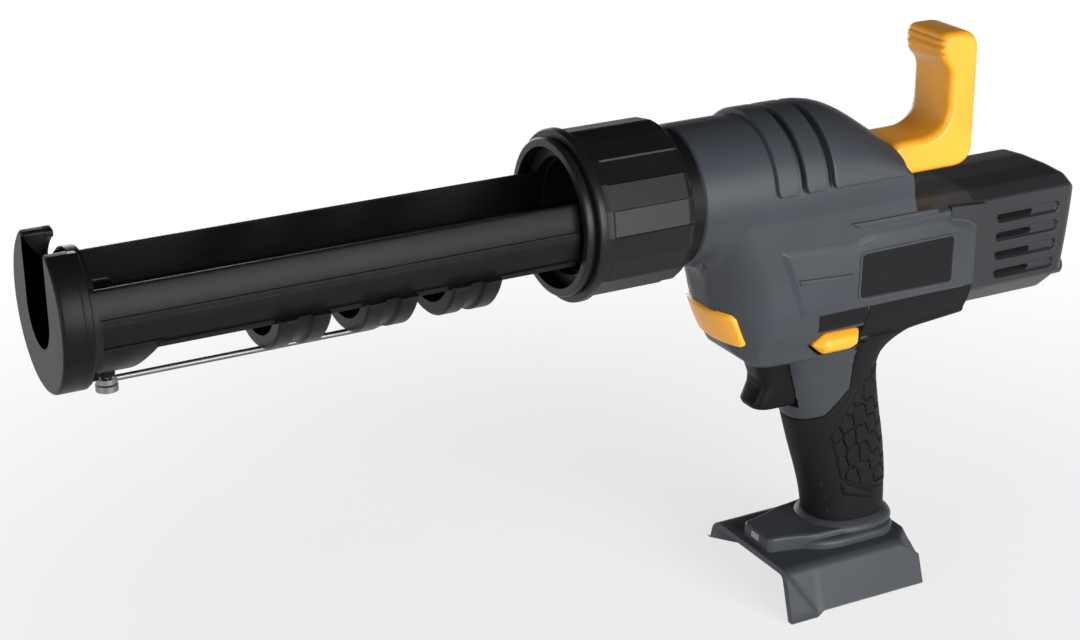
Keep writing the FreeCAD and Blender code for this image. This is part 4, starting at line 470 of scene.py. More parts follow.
def stacked(line_at, stops, order, loop=False):
    """Lines at several levels, joined. A stop says how far the line is drawn in, and its level."""
    rows = []
    for drawn, level in stops:
        line = line_at(drawn)
        rows.append(np.column_stack([line, np.full(len(line), level)]))
    return skin(np.array(rows)[..., order], loop)


def faceted(corners, radius, low, high, wide, tall):
    """A plate across the tool whose edge is a flat bevel, softened above and below."""
    stops = [(0, low), (0, high - tall - 0.3), (0.1, high - tall)]
    stops += [(wide - 0.2, high - 0.12), (wide + 0.3, high)]

    def line_at(drawn):
        return rounded(drawn_in(corners, drawn), max(radius - 0.5 * drawn, 0.5))

    return stacked(line_at, stops, ALONG_Y)


def slab(outline, low, high, rim, order=ALONG_Z, back_rim=0.0, steps=5, detail=0.0, tall=1.0):
    """A flat plate whose edge turns into the face along a quarter circle, which tall stretches.
    detail is added to the outline, less and less towards the faces."""
    turn = linspace(0, pi / 2, steps)
    stops = [(0.0, low)]
    if back_rim:
        stops = [(back_rim * 1.1, low)]
        stops += [(back_rim * (1 - math.sin(t)), low + tall * back_rim * (1 - math.cos(t))) for t in turn]
    stops += [(rim * (1 - math.cos(t)), high - tall * rim * (1 - math.sin(t))) for t in turn]
    stops += [(rim * 1.1, high)]
    return stacked(lambda drawn: inset(outline, drawn) + detail * max(0.0, 1 - drawn / rim), stops, order)


def bezel(outline, wide, low, high):
    """A narrow raised frame that follows an outline on its outer side."""
    stops = [(-wide, low), (-wide, high - 0.2), (0.2 - wide, high), (-0.2, high), (0, high - 0.2), (0, low)]
    return stacked(lambda drawn: inset(outline, drawn), stops, ALONG_Y, loop=True)


def bar(section, start, end, bevel=0.15):
    """A section of places across and heights, carried straight along the tool with bevelled ends."""
    stops = [(bevel, start), (0, start + bevel), (0, end - bevel), (bevel, end)]
    return stacked(lambda drawn: inset(section, drawn), stops, ALONG_X)


def full_turn(count):
    return linspace(0, 2 * pi, count, endpoint=False)


def turned(section, angle, loop=True, lower=None):
    """A section of places and radii turned about the barrel axis to angles, less what lower gives."""
    section, angle = np.asarray(section, float), angle[:, None]
    x, radius = section[..., 0], section[..., 1]
    if lower:
        radius = radius - lower(x, angle, radius)
    return skin(sheet(x, radius * cos(angle), AXIS + radius * sin(angle)), loop)


def flip(shape):
    """The same shape on the other side of the tool."""
    return shape[0] * (1, -1, 1), shape[1]


def piece(name, shapes, slot, body, node, sharp=32):
    """One object from shapes in millimetres: points merged, faces outward, edges sharp above an angle."""
    points = join([shape[0] for shape in shapes]) * MM
    starts = np.cumsum([0] + [len(shape[0]) for shape in shapes])
    faces = [[corner + start for corner in face] for shape, start in zip(shapes, starts) for face in shape[1]]
    mesh = bpy.data.meshes.new(name)
    mesh.from_pydata(points.tolist(), [], faces)
    work = bmesh.new()
    work.from_mesh(mesh)
    bmesh.ops.remove_doubles(work, verts=work.verts, dist=MM / 1000)
    bmesh.ops.recalc_face_normals(work, faces=work.faces)
    work.to_mesh(mesh)
    work.free()
    mesh.shade_smooth()
    mesh.set_sharp_from_angle(angle=math.radians(sharp))
    mesh.materials.append(BY_SLOT[slot])
    thing = added(name, mesh)
    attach(thing, body)
    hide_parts(node)
    triangles = sum(len(face) - 2 for face in faces)
    print(name + ":", len(mesh.vertices), "points,", triangles, "triangles on", body)
    return thing


# %% [markdown]
# ## Housing: hump and body
# The housing is two moulded halves that meet on the middle plane. Each could be boxes joined by booleans, but
# the real part flows from a round hump into a flat flank and a narrow neck. So each half is a section carried
# along the tool, and it follows three curves: top line, bottom line and half-width. Wells are pressed into
# the same sheets, for the lock-off button on the left and for the screws on the right.

# %% Body lines
HUMP_RADIUS = 31.0
FLANK = 29.5
CHIN_LONG = 22.0
SEAM = 0.06
FRONT_X = 84.0
LIP_X = 82.8
HUMP_END_X = -28.0
JOINT_X = -61.0

top_corners = [(-28, 187), (-22, 213), (7, 234.9), (40, 235), (84, 235)]
top_line = rounded(top_corners, [0, 8, 14, 14, 0], closed=False)
low_corners = [
    (-61, 130.4), (-34, 127.4), (-25.5, 124.4), (-22, 119), (24, 120), (46, 121.4),
    (56, 128.5), (61.5, 139), (66.5, 152), (69, 165), (73, 172), (84, 173),
]
low_line = rounded(low_corners, [0, 6, 4, 3, 6, 6, 5, 5, 5, 5, 4, 0], closed=False)
side_line = rounded([(100, 17), (118, 17), (127, 20), (145, FLANK), (180, FLANK)], 8, closed=False)
# The chin's front: the bottom line as far as the release button, then a slope up to the collar.
chin_line = low_line[(low_line[:, 0] > 45) & (low_line[:, 1] < 158)]
chin_line = join([chin_line, rounded([(67.6, 158), (70, 168), (84, 198)], 8, closed=False)])
GROOVES = [22.2, 36.4]
GROOVE_DEEP = 1.3
LOCK_CORNERS = [(15.5, 134.6), (21.5, 130), (15.5, 124.6), (1, 124.4), (-3.5, 126.5), (-3.5, 134)]
LOCK_SEAT = 10.4
# Housing screws: place, height, and how far out the seat of the head is.
SCREWS = [(67, 174, 22), (51, 129, 12), (-18, 188.5, 22), (-42, 136.5, 12), (-18, 104, 12)]
WELL_RADIUS = 2.85
WELL_ROOM = 1.15
WELL_SLOPE = 0.4


def half_width(height, x):
    """The flank's half-width: flat or round as the hump is, and drawn in along a curve towards the chin."""
    prow = FLANK * quarter((follow(chin_line[:, ::-1], height) - x) / CHIN_LONG)
    bulge = np.sqrt(np.maximum(HUMP_RADIUS ** 2 - (height - AXIS) ** 2, 0))
    side = np.minimum(follow(side_line, height), prow)
    reach = 0.6 * np.maximum(FLANK - prow, 0) + 0.001
    fillet = np.maximum(reach - np.abs(side - bulge), 0) ** 2 / (4 * reach)
    return np.maximum(side, bulge) + fillet


def screw_well(place, height, seat):
    """A round outline about a screw's head, with the seat that the head rests on."""
    return round_line(WELL_RADIUS, linspace(2 * pi, 0, 24, endpoint=False), (place, height)), seat


LEFT_WELLS = [(LOCK_CORNERS, LOCK_SEAT)]
RIGHT_WELLS = [screw_well(*screw) for screw in SCREWS]


def pressed(points, wells):
    """The sheet with a well in and just around each outline, pushed in to its seat."""
    points = points.copy()
    for outline, seat in wells:
        share = smooth((within(points[..., [0, 2]], outline) + WELL_ROOM) / WELL_SLOPE)
        points[..., 1] += (np.minimum(points[..., 1], seat) - points[..., 1]) * share
    return points


def power_of(x):
    """Exponent of the hump's section: a circle in front, a little squarer on the rear slope."""
    return 2 / (2 + 0.6 * smooth((7 - x) / 25))


def lower_rows(x, start):
    """Rows from a height down the flank, round the lower edge and in to the middle."""
    edge = 4.0
    low = follow(low_line, x)[:, None]
    start = start[:, None]
    height = start + (low + edge - start) * linspace(0, 1, 120)[1:]
    width = half_width(height, x[:, None])
    turn = linspace(0, pi / 2, 5)[1:]
    y = join([width, width[:, -1:] - edge * (1 - cos(turn)), np.full_like(low, SEAM)], axis=1)
    z = join([height, low + edge - edge * sin(turn), low], axis=1)
    return y, z


def hump_half(wells):
    """Front of a half: an arc over the top with two grooves, then the flank. It ends in a full circle."""
    lip = [83.2, 83.6, 83.9, FRONT_X]
    x = join([linspace(HUMP_END_X, 10, 76), linspace(10.5, LIP_X, 145), lip])
    top = follow(top_line, x)
    middle = np.minimum(AXIS, top - 4)
    arc = linspace(pi / 2, 0, 22)
    power = power_of(x)[:, None]
    arc_y = half_width(middle, x)[:, None] * np.abs(cos(arc)) ** power
    arc_z = middle[:, None] + (top - middle)[:, None] * sin(arc) ** power
    from_groove = np.abs(x[:, None] - GROOVES).min(axis=1)[:, None]
    groove = GROOVE_DEEP * smooth((1.7 - from_groove) / 0.5) * smooth((arc - 0.06) / 0.1)
    arc_y -= groove * cos(arc)
    arc_z -= groove * sin(arc)
    flank_y, flank_z = lower_rows(x, middle)
    y = join([arc_y, flank_y], axis=1)
    z = join([arc_z, flank_z], axis=1)
    around = join([arc, linspace(0, -pi / 2, flank_y.shape[1] + 1)[1:]])
    body = smooth((FRONT_X - 1 - x) / 11)[:, None]
    y = y * body + HUMP_RADIUS * cos(around) * (1 - body)
    z = z * body + (AXIS + HUMP_RADIUS * sin(around)) * (1 - body)
    shrink = 1 - 0.035 * smooth((x - LIP_X) / 1.2)[:, None]
    y = np.maximum(y * shrink, SEAM)
    z = AXIS + (z - AXIS) * shrink
    return skin(pressed(sheet(x[:, None], y, z), wells))


def rear_half(wells):
    """Rear of a half: a flat deck, a brow that slopes down to the flank, and the same lower rows."""
    x = linspace(JOINT_X, HUMP_END_X - 0.01, 66)
    deck = [(SEAM, 189.9), (8, 189.9), (20.6, 188.8), (27.6, 185.0), (28.8, 184.6), (FLANK, 183.4)]
    deck = np.tile(rounded(deck, 1.2, 4, closed=False), (len(x), 1, 1))
    flank_y, flank_z = lower_rows(x, deck[:, -1, 1])
    y = join([deck[..., 0], flank_y], axis=1)
    z = join([deck[..., 1], flank_z], axis=1)
    return skin(pressed(sheet(x[:, None], y, z), wells))


left_shapes = [hump_half(LEFT_WELLS), rear_half(LEFT_WELLS)]
right_shapes = [hump_half(RIGHT_WELLS), rear_half(RIGHT_WELLS)]
print("body:", sum(len(shape[0]) for shape in left_shapes), "points in each half")

# %% [markdown]
# ### Pads, side panel and strip
# Three raised pads cross the hump, with a groove of the hump between each two. A pad is a lifted patch of the
# hump's own surface, with its border sunk so that it looks moulded on. The side panel is a plate with a
# bevelled edge. A slim strip runs above it, and a narrow frame holds the name plate.

# %% Pads and panel
PAD_PROUD = 2.4
PAD_SUNK = 1.0


def hump_skin(x, angle, lift):
    """Points of the hump at places x and angles about the barrel axis, lifted off its surface."""
    power = power_of(x)
    y = (HUMP_RADIUS + lift) * np.abs(cos(angle)) ** power
    z = AXIS + (follow(top_line, x) - AXIS + lift) * sin(angle) ** power
    return sheet(x, np.maximum(y, SEAM), z)


def pad(rear, front):
    """A lifted patch from near the flank to the middle plane. Its rim rises along a quarter circle."""
    angle = radians(join([linspace(3, 11, 18), linspace(12.5, 90, 50)]))[:, None]
    across = join([linspace(0, 0.12, 8), linspace(0.16, 0.84, 14), linspace(0.88, 1, 8)])
    from_end = (angle - angle[0]) * HUMP_RADIUS
    narrow = 0.55 * (1 - quarter(from_end / 4)) * min(front - rear, 11)
    x = rear + narrow / 2 + (front - rear - narrow) * across
    from_side = np.minimum(x - x[:, :1], x[:, -1:] - x)
    rim = quarter(np.minimum(from_side / 0.9, from_end / 1.2))
    return plate(hump_skin(x, angle, (PAD_PROUD + PAD_SUNK) * rim - PAD_SUNK), hump_skin(x, angle, -1.6))


panel_corners = [
    (45, 180.6), (5, 179.4), (-6, 182), (-45, 182.2), (-48, 179.6), (-57, 176.8), (-60.6, 172.5),
    (-59, 152), (-56, 146.2), (33, 147.6),
]
strip_corners = [(-39.5, 183.6), (4, 184.6), (9, 187.4), (-38, 187)]
rib_corners = [(36, 166.4), (34.6, 163.4), (8, 161.4), (6.4, 164.4)]
plate_line = rounded([(2.2, 172.4), (-47, 172.6), (-46.6, 151.3), (2.6, 152)], 1.8)
trim_shapes = [
    pad(38, 49), pad(23.8, 34.8), pad(-19, 20.6),
    faceted(panel_corners, 2.0, 28.6, 30.9, 2.6, 1.5),
    faceted(strip_corners, 0.8, 28.0, 30.4, 0.5, 0.5),
    faceted(rib_corners, 0.8, 30.0, 31.7, 0.5, 0.6),
    bezel(inset(plate_line, -0.25), 1.1, 30.5, 31.5),
]
# The chin is narrow at the front screw, so a boss stands round its head.
front_well = RIGHT_WELLS[0][0][::-1]
right_shapes += [bezel(inset(front_well, -0.9), 1.5, 13, 24.5)]
print("pads, panel and strip:", len(trim_shapes), "shapes")


# %% [markdown]
# ## Grip and rubber
# The grip leans forward as it rises. Its section is a superellipse, between an ellipse and a rectangle. Front
# and rear lines are curves by height. The slate core shows at the trigger, and a rubber skin covers the rest.
# Both follow one surface: each dips below the other on the far side of the joint line.

# %% Grip surface
GRIP_HEIGHTS = [20.0, 30, 42, 54, 70, 87, 104, 112, 118, 123, 127, 131]
GRIP_FRONT = [5.0, 5, 6.6, 9.8, 15, 19.8, 23.6, 25, 26.2, 27.2, 28, 29]
GRIP_REAR = [-34.8, -34.8, -34.8, -34.4, -32.6, -29.4, -26.4, -26, -28, -34, -42, -54]
GRIP_SIDE = [17.0, 17, 17, 17, 17, 17, 17.2, 18, 19.2, 20.6, 22.4, 24.6]
GRIP_POWER = [2.3, 2.3, 2.3, 2.3, 2.3, 2.3, 2.5, 2.8, 3.2, 3.5, 3.6, 3.6]
SLATE_AREA = [(-5.6, 140), (40, 140), (40, 88), (23, 86), (8, 90), (-4.6, 102)]


def eased(height, values):
    """Straight steps between values by height, averaged over a window so that no corner is left."""
    window = linspace(-5, 5, 11)
    return np.interp(height[..., None] + window, GRIP_HEIGHTS, values).mean(axis=-1)


def grip_points(height, turn, lift):
    """Points of the grip at heights and turns, 0 in front and pi behind, lifted off its surface."""
    front = eased(height, GRIP_FRONT)
    rear = eased(height, GRIP_REAR)
    power = 2 / eased(height, GRIP_POWER)
    x = (front + rear) / 2 + ((front - rear) / 2 + lift) * raised(cos(turn), power)
    y = (eased(height, GRIP_SIDE) + lift) * np.abs(sin(turn)) ** power
    return sheet(x, np.maximum(y, SEAM), height)


def grip_grid(heights, columns):
    """Every height with every turn, from the front to behind."""
    return np.meshgrid(heights, linspace(0, pi, columns), indexing="ij")


def slate_share(points):
    """1 where the slate core shows, 0 where the rubber covers it."""
    return smooth(within(points[..., [0, 2]], SLATE_AREA) / 1.6 + 0.5)


def grip_core(wells):
    """The slate core. It dips below the rubber outside the slate area, and has a pocket for the trigger."""
    height, turn = grip_grid(linspace(23, 129, 170), 120)
    share = slate_share(grip_points(height, turn, 0.0))
    points = grip_points(height, turn, -2.0 + 2.0 * share)
    pocket = (points[..., 1] < 9.4) & (turn < 1.2) & (height > 94)
    points[..., 0] = np.where(pocket, np.minimum(points[..., 0], 8), points[..., 0])
    return skin(pressed(points, wells))


left_shapes += [grip_core(LEFT_WELLS)]
right_shapes += [grip_core(RIGHT_WELLS)]
print("grip core:", len(left_shapes[-1][0]), "points in each half")

# %% [markdown]
# ### Tiles in the rubber
# The rubber has a panel of irregular tiles on each side. A tile border is where the two nearest of a set of
# scattered points are equally far away. So the difference of those distances gives the grooves.

# %% Rubber skin
RUBBER_LOW, RUBBER_HIGH = 32.6, 127.5
PANEL_BOTTOM = 146.4
TILE_PANEL = [(-18, 108.5), (0, 84.5), (4, 78.6), (-2.4, 55.6), (-18.4, 48.5), (-42, 45), (-42, 108.5)]
UPPER_EDGE = TILE_PANEL[:2]
WEDGE = [(-1.6, 55.4), (-3.2, 47.6), (-22.8, 41.4), (-21, 46.2)]


def scattered(step_x, step_z, columns, rows, seed):
    """Points of a leaning grid, each moved by a fixed random amount."""
    spread = np.random.default_rng(seed).uniform(-0.24, 0.24, (rows, columns, 2))
    row, column = np.meshgrid(np.arange(rows), np.arange(columns), indexing="ij")
    x = (column + spread[..., 0]) * step_x + row * 1.6
    z = (row + spread[..., 1]) * step_z - column * 3.4
    return np.stack([x, z], axis=-1).reshape(-1, 2)


def rubber_half(wells):
    """The rubber's outer face with its tiles, and a plain inner face about two millimetres below it."""
    height, turn = grip_grid(linspace(RUBBER_LOW, RUBBER_HIGH, 170), 200)
    base = grip_points(height, turn, 0.0)
    side = base[..., [0, 2]]
    seeds = scattered(6.4, 9.0, columns=10, rows=11, seed=7) + (-46, 46)
    reach = norm((side[..., None, :] - seeds) * (1.25, 1), axis=-1)
    nearest = np.partition(reach, 1, axis=-1)
    border = nearest[..., 1] - nearest[..., 0]
    inside = within(side, TILE_PANEL)
    flank = smooth((base[..., 1] - 3) / 4)
    tiles = flank * smooth(inside / 0.8) * (smooth((border - 0.3) / 0.8) - 0.8)
    lines = -0.6 * flank * smooth(1 - np.abs(inside + 0.3) / 0.8)
    ridge = np.abs(within(side, UPPER_EDGE) + 3.6)
    lines -= 0.6 * flank * smooth(1 - ridge / 0.7) * (side[..., 0] < 1)
    wedge = 1.2 * flank * smooth(within(side, WEDGE) / 1.6)
    lift = tiles + lines + wedge - 2.2 * slate_share(base) - 0.3
    lift -= 1 - smooth(np.minimum(height - RUBBER_LOW, RUBBER_HIGH - height))
    outer = pressed(grip_points(height, turn, lift), wells)
    return plate(outer, pressed(grip_points(height, turn, -2.4), wells))


def belly_rubber(wells):
    """The rubber runs on below the panel as a thin sheet on the lower flank, behind the grip."""
    x = np.arange(-60.6, -4.2, 0.7)
    y, z = lower_rows(x, np.full(len(x), PANEL_BOTTOM))
    outer = pressed(sheet(x[:, None], y + 0.4 * (y > 1), z - 0.4), wells)
    inner = outer + (0, -1.0, 1.0)
    inner[..., 1] = np.maximum(inner[..., 1], SEAM)
    return plate(outer, inner)


def painted_hollow_shade():
    """A dark strip in the rubber finish between the panel and the lock-off button: painted shade that stands
    for the shadowed hollow above the button.
    """
    low = 137.2
    x, height = np.meshgrid(linspace(-5.5, 20.5, 30), linspace(PANEL_BOTTOM, low, 16), indexing="ij")
    outer = sheet(x + (height - low) * 0.25, half_width(height, x) + 0.3, height)
    return plate(outer, outer - (0, 1.2, 0))


# The rubber with its tiles, the sheet below the panel, and the dark strip of painted shade above the lock-off
# button.
def rubber_and_painted_shade_shapes(wells):
    return [rubber_half(wells), belly_rubber(wells), painted_hollow_shade()]


# Each side's rubber piece also carries the dark strip of painted shade above the lock-off button.
piece("rubber_skin_and_painted_shade_left", rubber_and_painted_shade_shapes(LEFT_WELLS), "rubber", "housing", "grip_rubber_left", 50)
right_rubber = [flip(shape) for shape in rubber_and_painted_shade_shapes(RIGHT_WELLS)]
piece("rubber_skin_and_painted_shade_right", right_rubber, "rubber", "housing", "grip_rubber_right", 50)

# %% [markdown]
# ## Foot
# The foot straddles the battery: a flat plate with two sloping skirts. Its section is a bent sheet, carried
# along the tool. The rear corners are cut off at a slope, and each skirt's front corner has a triangular
# facet that stands proud. Above, a rounded tier carries the grip and the lamp box. Those two cross the middle
# plane, so each is built once and belongs to the left half.

# %% Foot
FOOT_HALF = 37
FOOT_TOP = 24


def foot_half(rise):
    """The bent sheet of one side. Heights are capped by the sloping cut, the facet pushes the skirt out,
    and the skirt's lower edge rises towards the front by a given amount."""
    extra = [-36.4, 36.4, 18.6, 19.4, 22.4, 23]
    x = np.unique(join([linspace(-FOOT_HALF, FOOT_HALF, 75), extra]))
    outer = rounded([(SEAM, FOOT_TOP), (30, FOOT_TOP), (FOOT_HALF, 0)], 4.5, 9, closed=False)
    inner = rounded([(34, 0), (27.8, 21), (SEAM, 21)], 2.5, 9, closed=False)
    share = linspace(0, 1, 16)[1:-1, None]
    skirt = outer[-2] + (outer[-1] - outer[-2]) * share
    top = outer[0] + (outer[1] - outer[0]) * share
    section = join([outer[:1], top, outer[1:-1], skirt, outer[-1:], inner])
    place = x[:, None]
    y, z = np.tile(section, (len(x), 1, 1)).transpose(2, 0, 1)
    is_outer = np.arange(len(section)) < len(section) - len(inner)
    cut = 15 + 9 * (place + FOOT_HALF + 0.9 * np.maximum(30 - y, 0)) / 10 - np.where(is_outer, 0, 2.6)
    z = np.where(y > 16, np.minimum(z, cut), z)
    ahead = place - (20 + 16 * z / FOOT_TOP)
    y = y + np.where(is_outer & (y > 30), 0.9 * smooth(ahead / 2.2) * (1 - smooth((z - 19) / 4)), 0)
    y = np.minimum(y, FOOT_HALF)
    z = z + 2.6 * (1 - z / FOOT_TOP) * (1 - smooth((place - 18.5) / 4.5)) * (y > 24)
    z = np.where(y > 24, np.maximum(z, rise * np.clip((place - 8) / 29, 0, 1)), z)
    return skin(sheet(place, y, z))


def both_sides(half, radius):
    """An outline of both sides from the corners of its left half, front to rear."""
    return rounded(half + [(x, -y) for x, y in reversed(half)], radius + radius[::-1])


def tier_ring():
    """A rolled ring round the grip's foot: the grip's own section, lifted along a wave by height."""
    height = [27.5, 28.2, 28.8, 29.6, 30.4, 31.2, 31.9, 32.5, 33.0, 33.2, 33.2]
    lift = np.array([2.6, 3.3, 3.5, 3.4, 3.1, 2.5, 1.7, 0.8, 0.0, -0.6, -2.4])
    points = grip_points(*grip_grid(height, 70), lift[:, None])
    points[..., 0] = np.maximum(points[..., 0], 0.1 - FOOT_HALF)
    return skin(points)


tier = both_sides([(33.6, 10.2), (20, 12.2), (12, 19), (2, 22), (-27, 22), (-35.5, 14)], [5, 9, 9, 8, 8, 8])
lamp_box = both_sides([(33.8, 10.9), (22, 12.9), (11, 17.4), (-4, 18)], [3.4, 8, 8, 0])
trim_shapes += [tier_ring()]
left_shapes += [foot_half(0), slab(tier, 23.4, 28.2, 2.6), slab(lamp_box, 24, 31.2, 1.8)]
right_shapes += [foot_half(13)]
piece("housing_skin_left", left_shapes + trim_shapes, "slate_plastic", "housing", "housing_left")
right_shapes = [flip(shape) for shape in right_shapes + trim_shapes]
piece("housing_skin_right", right_shapes, "slate_plastic", "housing", "housing_right")

# %% [markdown]
# ## Rear cap
# The cap over the motor has flat sides, sloping brows and a cut-off belly. Its section is carried along the
# tool and drawn in at the rear. Each flank has four vents, a shallow recess with a deep slot in its front
# part. They are pressed into the same sheet of points, so the recesses have no seams.

# %% Rear cap
VENT_HEIGHTS = np.array([148.5, 157.5, 166.5, 175.5])
CAP_HALF = 28.0
CAP_MIDDLE = 160.5
CAP_END_X = -121.0


def from_capsules(x, z, start, end, heights):
    """Distance to the nearest of some level lines. Points near a line form a capsule."""
    return np.hypot((x - np.clip(x, start, end))[..., None], z[..., None] - heights).min(axis=-1)


def vent_depth(x, z):
    """How deep the flank is pressed in: wide shallow recesses, each with a narrow deep slot."""
    wide = from_capsules(x, z, -108.0, -76.3, VENT_HEIGHTS)
    slot = from_capsules(x, z, -93.5, -76.6, VENT_HEIGHTS - 0.4)
    return 1.5 * smooth((2.7 - wide) / 0.7) + 6.0 * smooth((1.35 - slot) / 0.5)


def mirrored(half, radius, steps):
    """The points of a line across the tool between the flanks, from the corners of its left half."""
    line = rounded(half + [(-y, z) for y, z in reversed(half)], radius, steps, closed=False)
    return line[np.abs(line[:, 0]) < CAP_HALF - 0.02]


def cap_skin():
    """The eight-sided section, drawn in at the rear along a quarter circle, with the vents pressed in."""
    flank = join([linspace(143.5, 145.2, 4), np.arange(145.4, 179, 0.42), linspace(179.2, 184.4, 8)])
    belly = mirrored([(CAP_HALF, 150), (CAP_HALF, 143.5), (15.5, 131.1)], 3.5, 8)
    crown = mirrored([(CAP_HALF, 180), (CAP_HALF, 185), (20.6, 188.9), (8, 189.9)], 1.4, 5)
    left = np.column_stack([np.full(len(flank), CAP_HALF), flank])
    parts = [left, crown, left[::-1] * (-1, 1), belly[::-1]]
    section = join(parts)
    on_flank = np.repeat([True, False, True, False], [len(line) for line in parts])
    turn = linspace(0, pi / 2, 9)
    rear = 7.0
    curve = CAP_END_X + rear * (1 - cos(turn))
    x = join([curve, np.arange(-113.6, -72, 0.45), linspace(-71.6, JOINT_X, 10)])[:, None]
    drawn = join([rear * (1 - sin(turn)), np.zeros(len(x) - len(turn))])[:, None]
    y = section[:, 0] * (1 - drawn / CAP_HALF)
    z = CAP_MIDDLE + (section[:, 1] - CAP_MIDDLE) * (1 - drawn / 29.5)
    depth = np.where(on_flank, vent_depth(x, z), 0)
    lean = 7.0 * (np.clip(190 - z, 0, 60) / 60) ** 1.6 * smooth((-100 - x) / 20)
    return skin(sheet(x + lean, y - np.sign(y) * depth, z))


tongue = [(-46.2, 186), (-46.2, 181), (-57, 178.4), (-62, 174.6), (-66, 176), (-66, 184.8)]
tongue = slab(rounded(tongue, [1, 1, 4, 3, 1, 1]), 27.0, 29.95, 0.5, ALONG_Y)
boss_profile = [
    (-112, 4.7), (-118.3, 4.7), (-118.7, 4.3), (-118.7, 3.7), (-116, 3.7), (-116, 2.1), (-112, 2.1),
]
boss = turned(boss_profile, full_turn(60))
bosses = [(boss[0] + (0, y, z - AXIS), boss[1]) for y, z in ((19, 143), (-19, 181))]
cap_shapes = [cap_skin(), tongue, flip(tongue)] + bosses
rear_cap = piece("rear_cap_skin", cap_shapes, "slate_plastic", "housing", "rear_cap", 40)
rear_cap.data.materials[0] = CAP

# %% [markdown]
# ## Pull handle
# The orange handle sits on the rod's end: a base, an upright column with a large inner curve, and a nose with
# finger grooves. A bevelled box would lose the curve, so the side outline is drawn once and carried across
# the tool, with a wide rim on both sides. The grooves are dips along the outline that fade at the rim.

# %% Handle
def resampled(outline, step):
    """The closed outline again, with points at even steps along it."""
    closed = join([outline, outline[:1]])
    along = join([[0], np.cumsum(norm(np.diff(closed, axis=0), axis=1))])
    places = linspace(0, along[-1], int(along[-1] / step), endpoint=False)
    return np.column_stack([np.interp(places, along, closed[:, i]) for i in (0, 1)])


HANDLE_HALF = 14.5
HANDLE_RIM = 3.0
handle_corners = [
    (-69, 198), (-26.4, 198), (-22.6, 214), (-54, 214), (-54, 243.5), (-48, 249.5), (-48, 261), (-69, 261),
]
handle_line = resampled(rounded(handle_corners, [11, 8, 8, 16, 8, 8, 9, 11], 14), 0.6)
groove_places = [(-48.6, 251.2), (-48, 254.8), (-48.6, 258.6)]
near_groove = norm(handle_line[:, None] - groove_places, axis=-1).min(axis=1)
groove_depth = 1.1 * np.exp(-(near_groove / 0.8) ** 2)
dips = inset(handle_line, groove_depth[:, None]) - handle_line
handle = slab(handle_line, -HANDLE_HALF, HANDLE_HALF, HANDLE_RIM, ALONG_Y, HANDLE_RIM, 9, dips, 1.6)
piece("handle_skin", [handle], "orange_plastic", "rod", "pull_handle", 50)

# %% [markdown]
# ## Locking collar
# The collar is a ring nut. A plain turned ring would miss its finger flutes, so its radius depends on
# both the place along the axis and the angle: it is the turned profile's, less the flutes.

# %% Collar
FLUTE_COUNT = 10
SLEEVE_RADIUS = 35.8
collar_corners = [
    (91, 31.1), (91, 33.8), (93.2, SLEEVE_RADIUS), (133.8, SLEEVE_RADIUS), (133.8, 37), (137.6, 37),
    (137.6, 32.8), (138.6, 32.8), (138.6, 33.8), (142, 33.8), (142, 30.2),
]
collar_outer = rounded(collar_corners, [0, 0.8, 1.5, 0.5, 1.0, 1.0, 0.2, 0.2, 0.8, 1.2, 0], 5, closed=False)
collar_inner = [(136.6, 30.2), (136.6, 32.6), (95.8, 32.6), (95.8, 31.1)]


def flutes(x, angle, radius):
    """Depth below the round sleeve: flats all round it, every second one sunk as a finger flute."""
    share = angle * FLUTE_COUNT / pi
    from_middle = (np.mod(share, 1.0) - 0.5) * pi / FLUTE_COUNT
    flat = radius * (1 - math.cos(pi / FLUTE_COUNT / 2) / cos(from_middle))
    sunk = np.where(np.mod(share, 2.0) < 1.0, 0.5, 0.0)
    return (flat + sunk * smooth((130.4 - x) / 0.8)) * (radius > 35.2) * (x < 133.7)


sleeve = np.column_stack([linspace(95, 130.6, 60), np.full(60, SLEEVE_RADIUS)])
split = np.searchsorted(collar_outer[:, 0], 100)
collar_profile = join([collar_outer[:split], sleeve, collar_outer[split:], collar_inner])
collar_shape = turned(collar_profile, full_turn(400), lower=flutes)
collar = piece("collar_skin", [collar_shape], "black_plastic", "collar", "lock_collar", 14)
collar.data.materials[0] = COLLAR

# %% [markdown]
# ## Cradle
# The cartridge lies in an open trough: two curved walls with rails, three straps that join them below, and a
# closed nose in front. Each is a section carried along the tool. The straps have a groove round the middle,
# so their radius changes on the way.

# %% Tray
TRAY_INNER = 25.3
TRAY_START = 131.5


def wall_section(low, high, inner, outer, rim):
    """A piece of ring between two heights about the axis, with rounded corners."""
    rise = linspace(low, high, 24)
    outside = np.column_stack([np.sqrt(outer ** 2 - rise ** 2), rise])
    inside = np.column_stack([np.sqrt(inner ** 2 - rise ** 2), rise])[::-1]
    radius = np.zeros(48)
    radius[[0, 23, 24, 47]] = rim
    return rounded(join([outside, inside]), radius, 4) + (0, AXIS)


def under_ring(radius, count):
    """Places across and heights from the axis: out round a radius, back along the inside."""
    angle = radians(join([linspace(-21.6, -158.4, count), linspace(-153, -27, count)]))
    radius = np.where(np.arange(2 * count) < count, radius, TRAY_INNER)
    return radius * cos(angle), radius * sin(angle)


def strap(start):
    """A half ring below the walls, with a shallow groove round its middle."""
    stops = np.array([0, 0.9, 7.4, 8.3, 13.7, 14.6, 21.1, 22])[:, None]
    radius = np.array([30.1, 31, 31, 29.6, 29.6, 31, 31, 30.1])[:, None]
    y, z = under_ring(radius, 60)
    return skin(sheet(start + stops, y, AXIS + z))


def nose_shell():
    """The closed front of the trough. Its rear edge slants forward as it goes down."""
    count = 70
    y, z = under_ring(27.5, count)
    rear = 319.7 + 13 * np.clip((-11.4 - z) / 19.6, 0, 1)
    share = np.array([0, 0.04, 0.5, 1])[:, None]
    tuck = 1 - np.array([0.02, 0, 0, 0])[:, None] * (np.arange(2 * count) < count)
    return skin(sheet(rear + share * (347.8 - rear), y * tuck, AXIS + z * tuck))


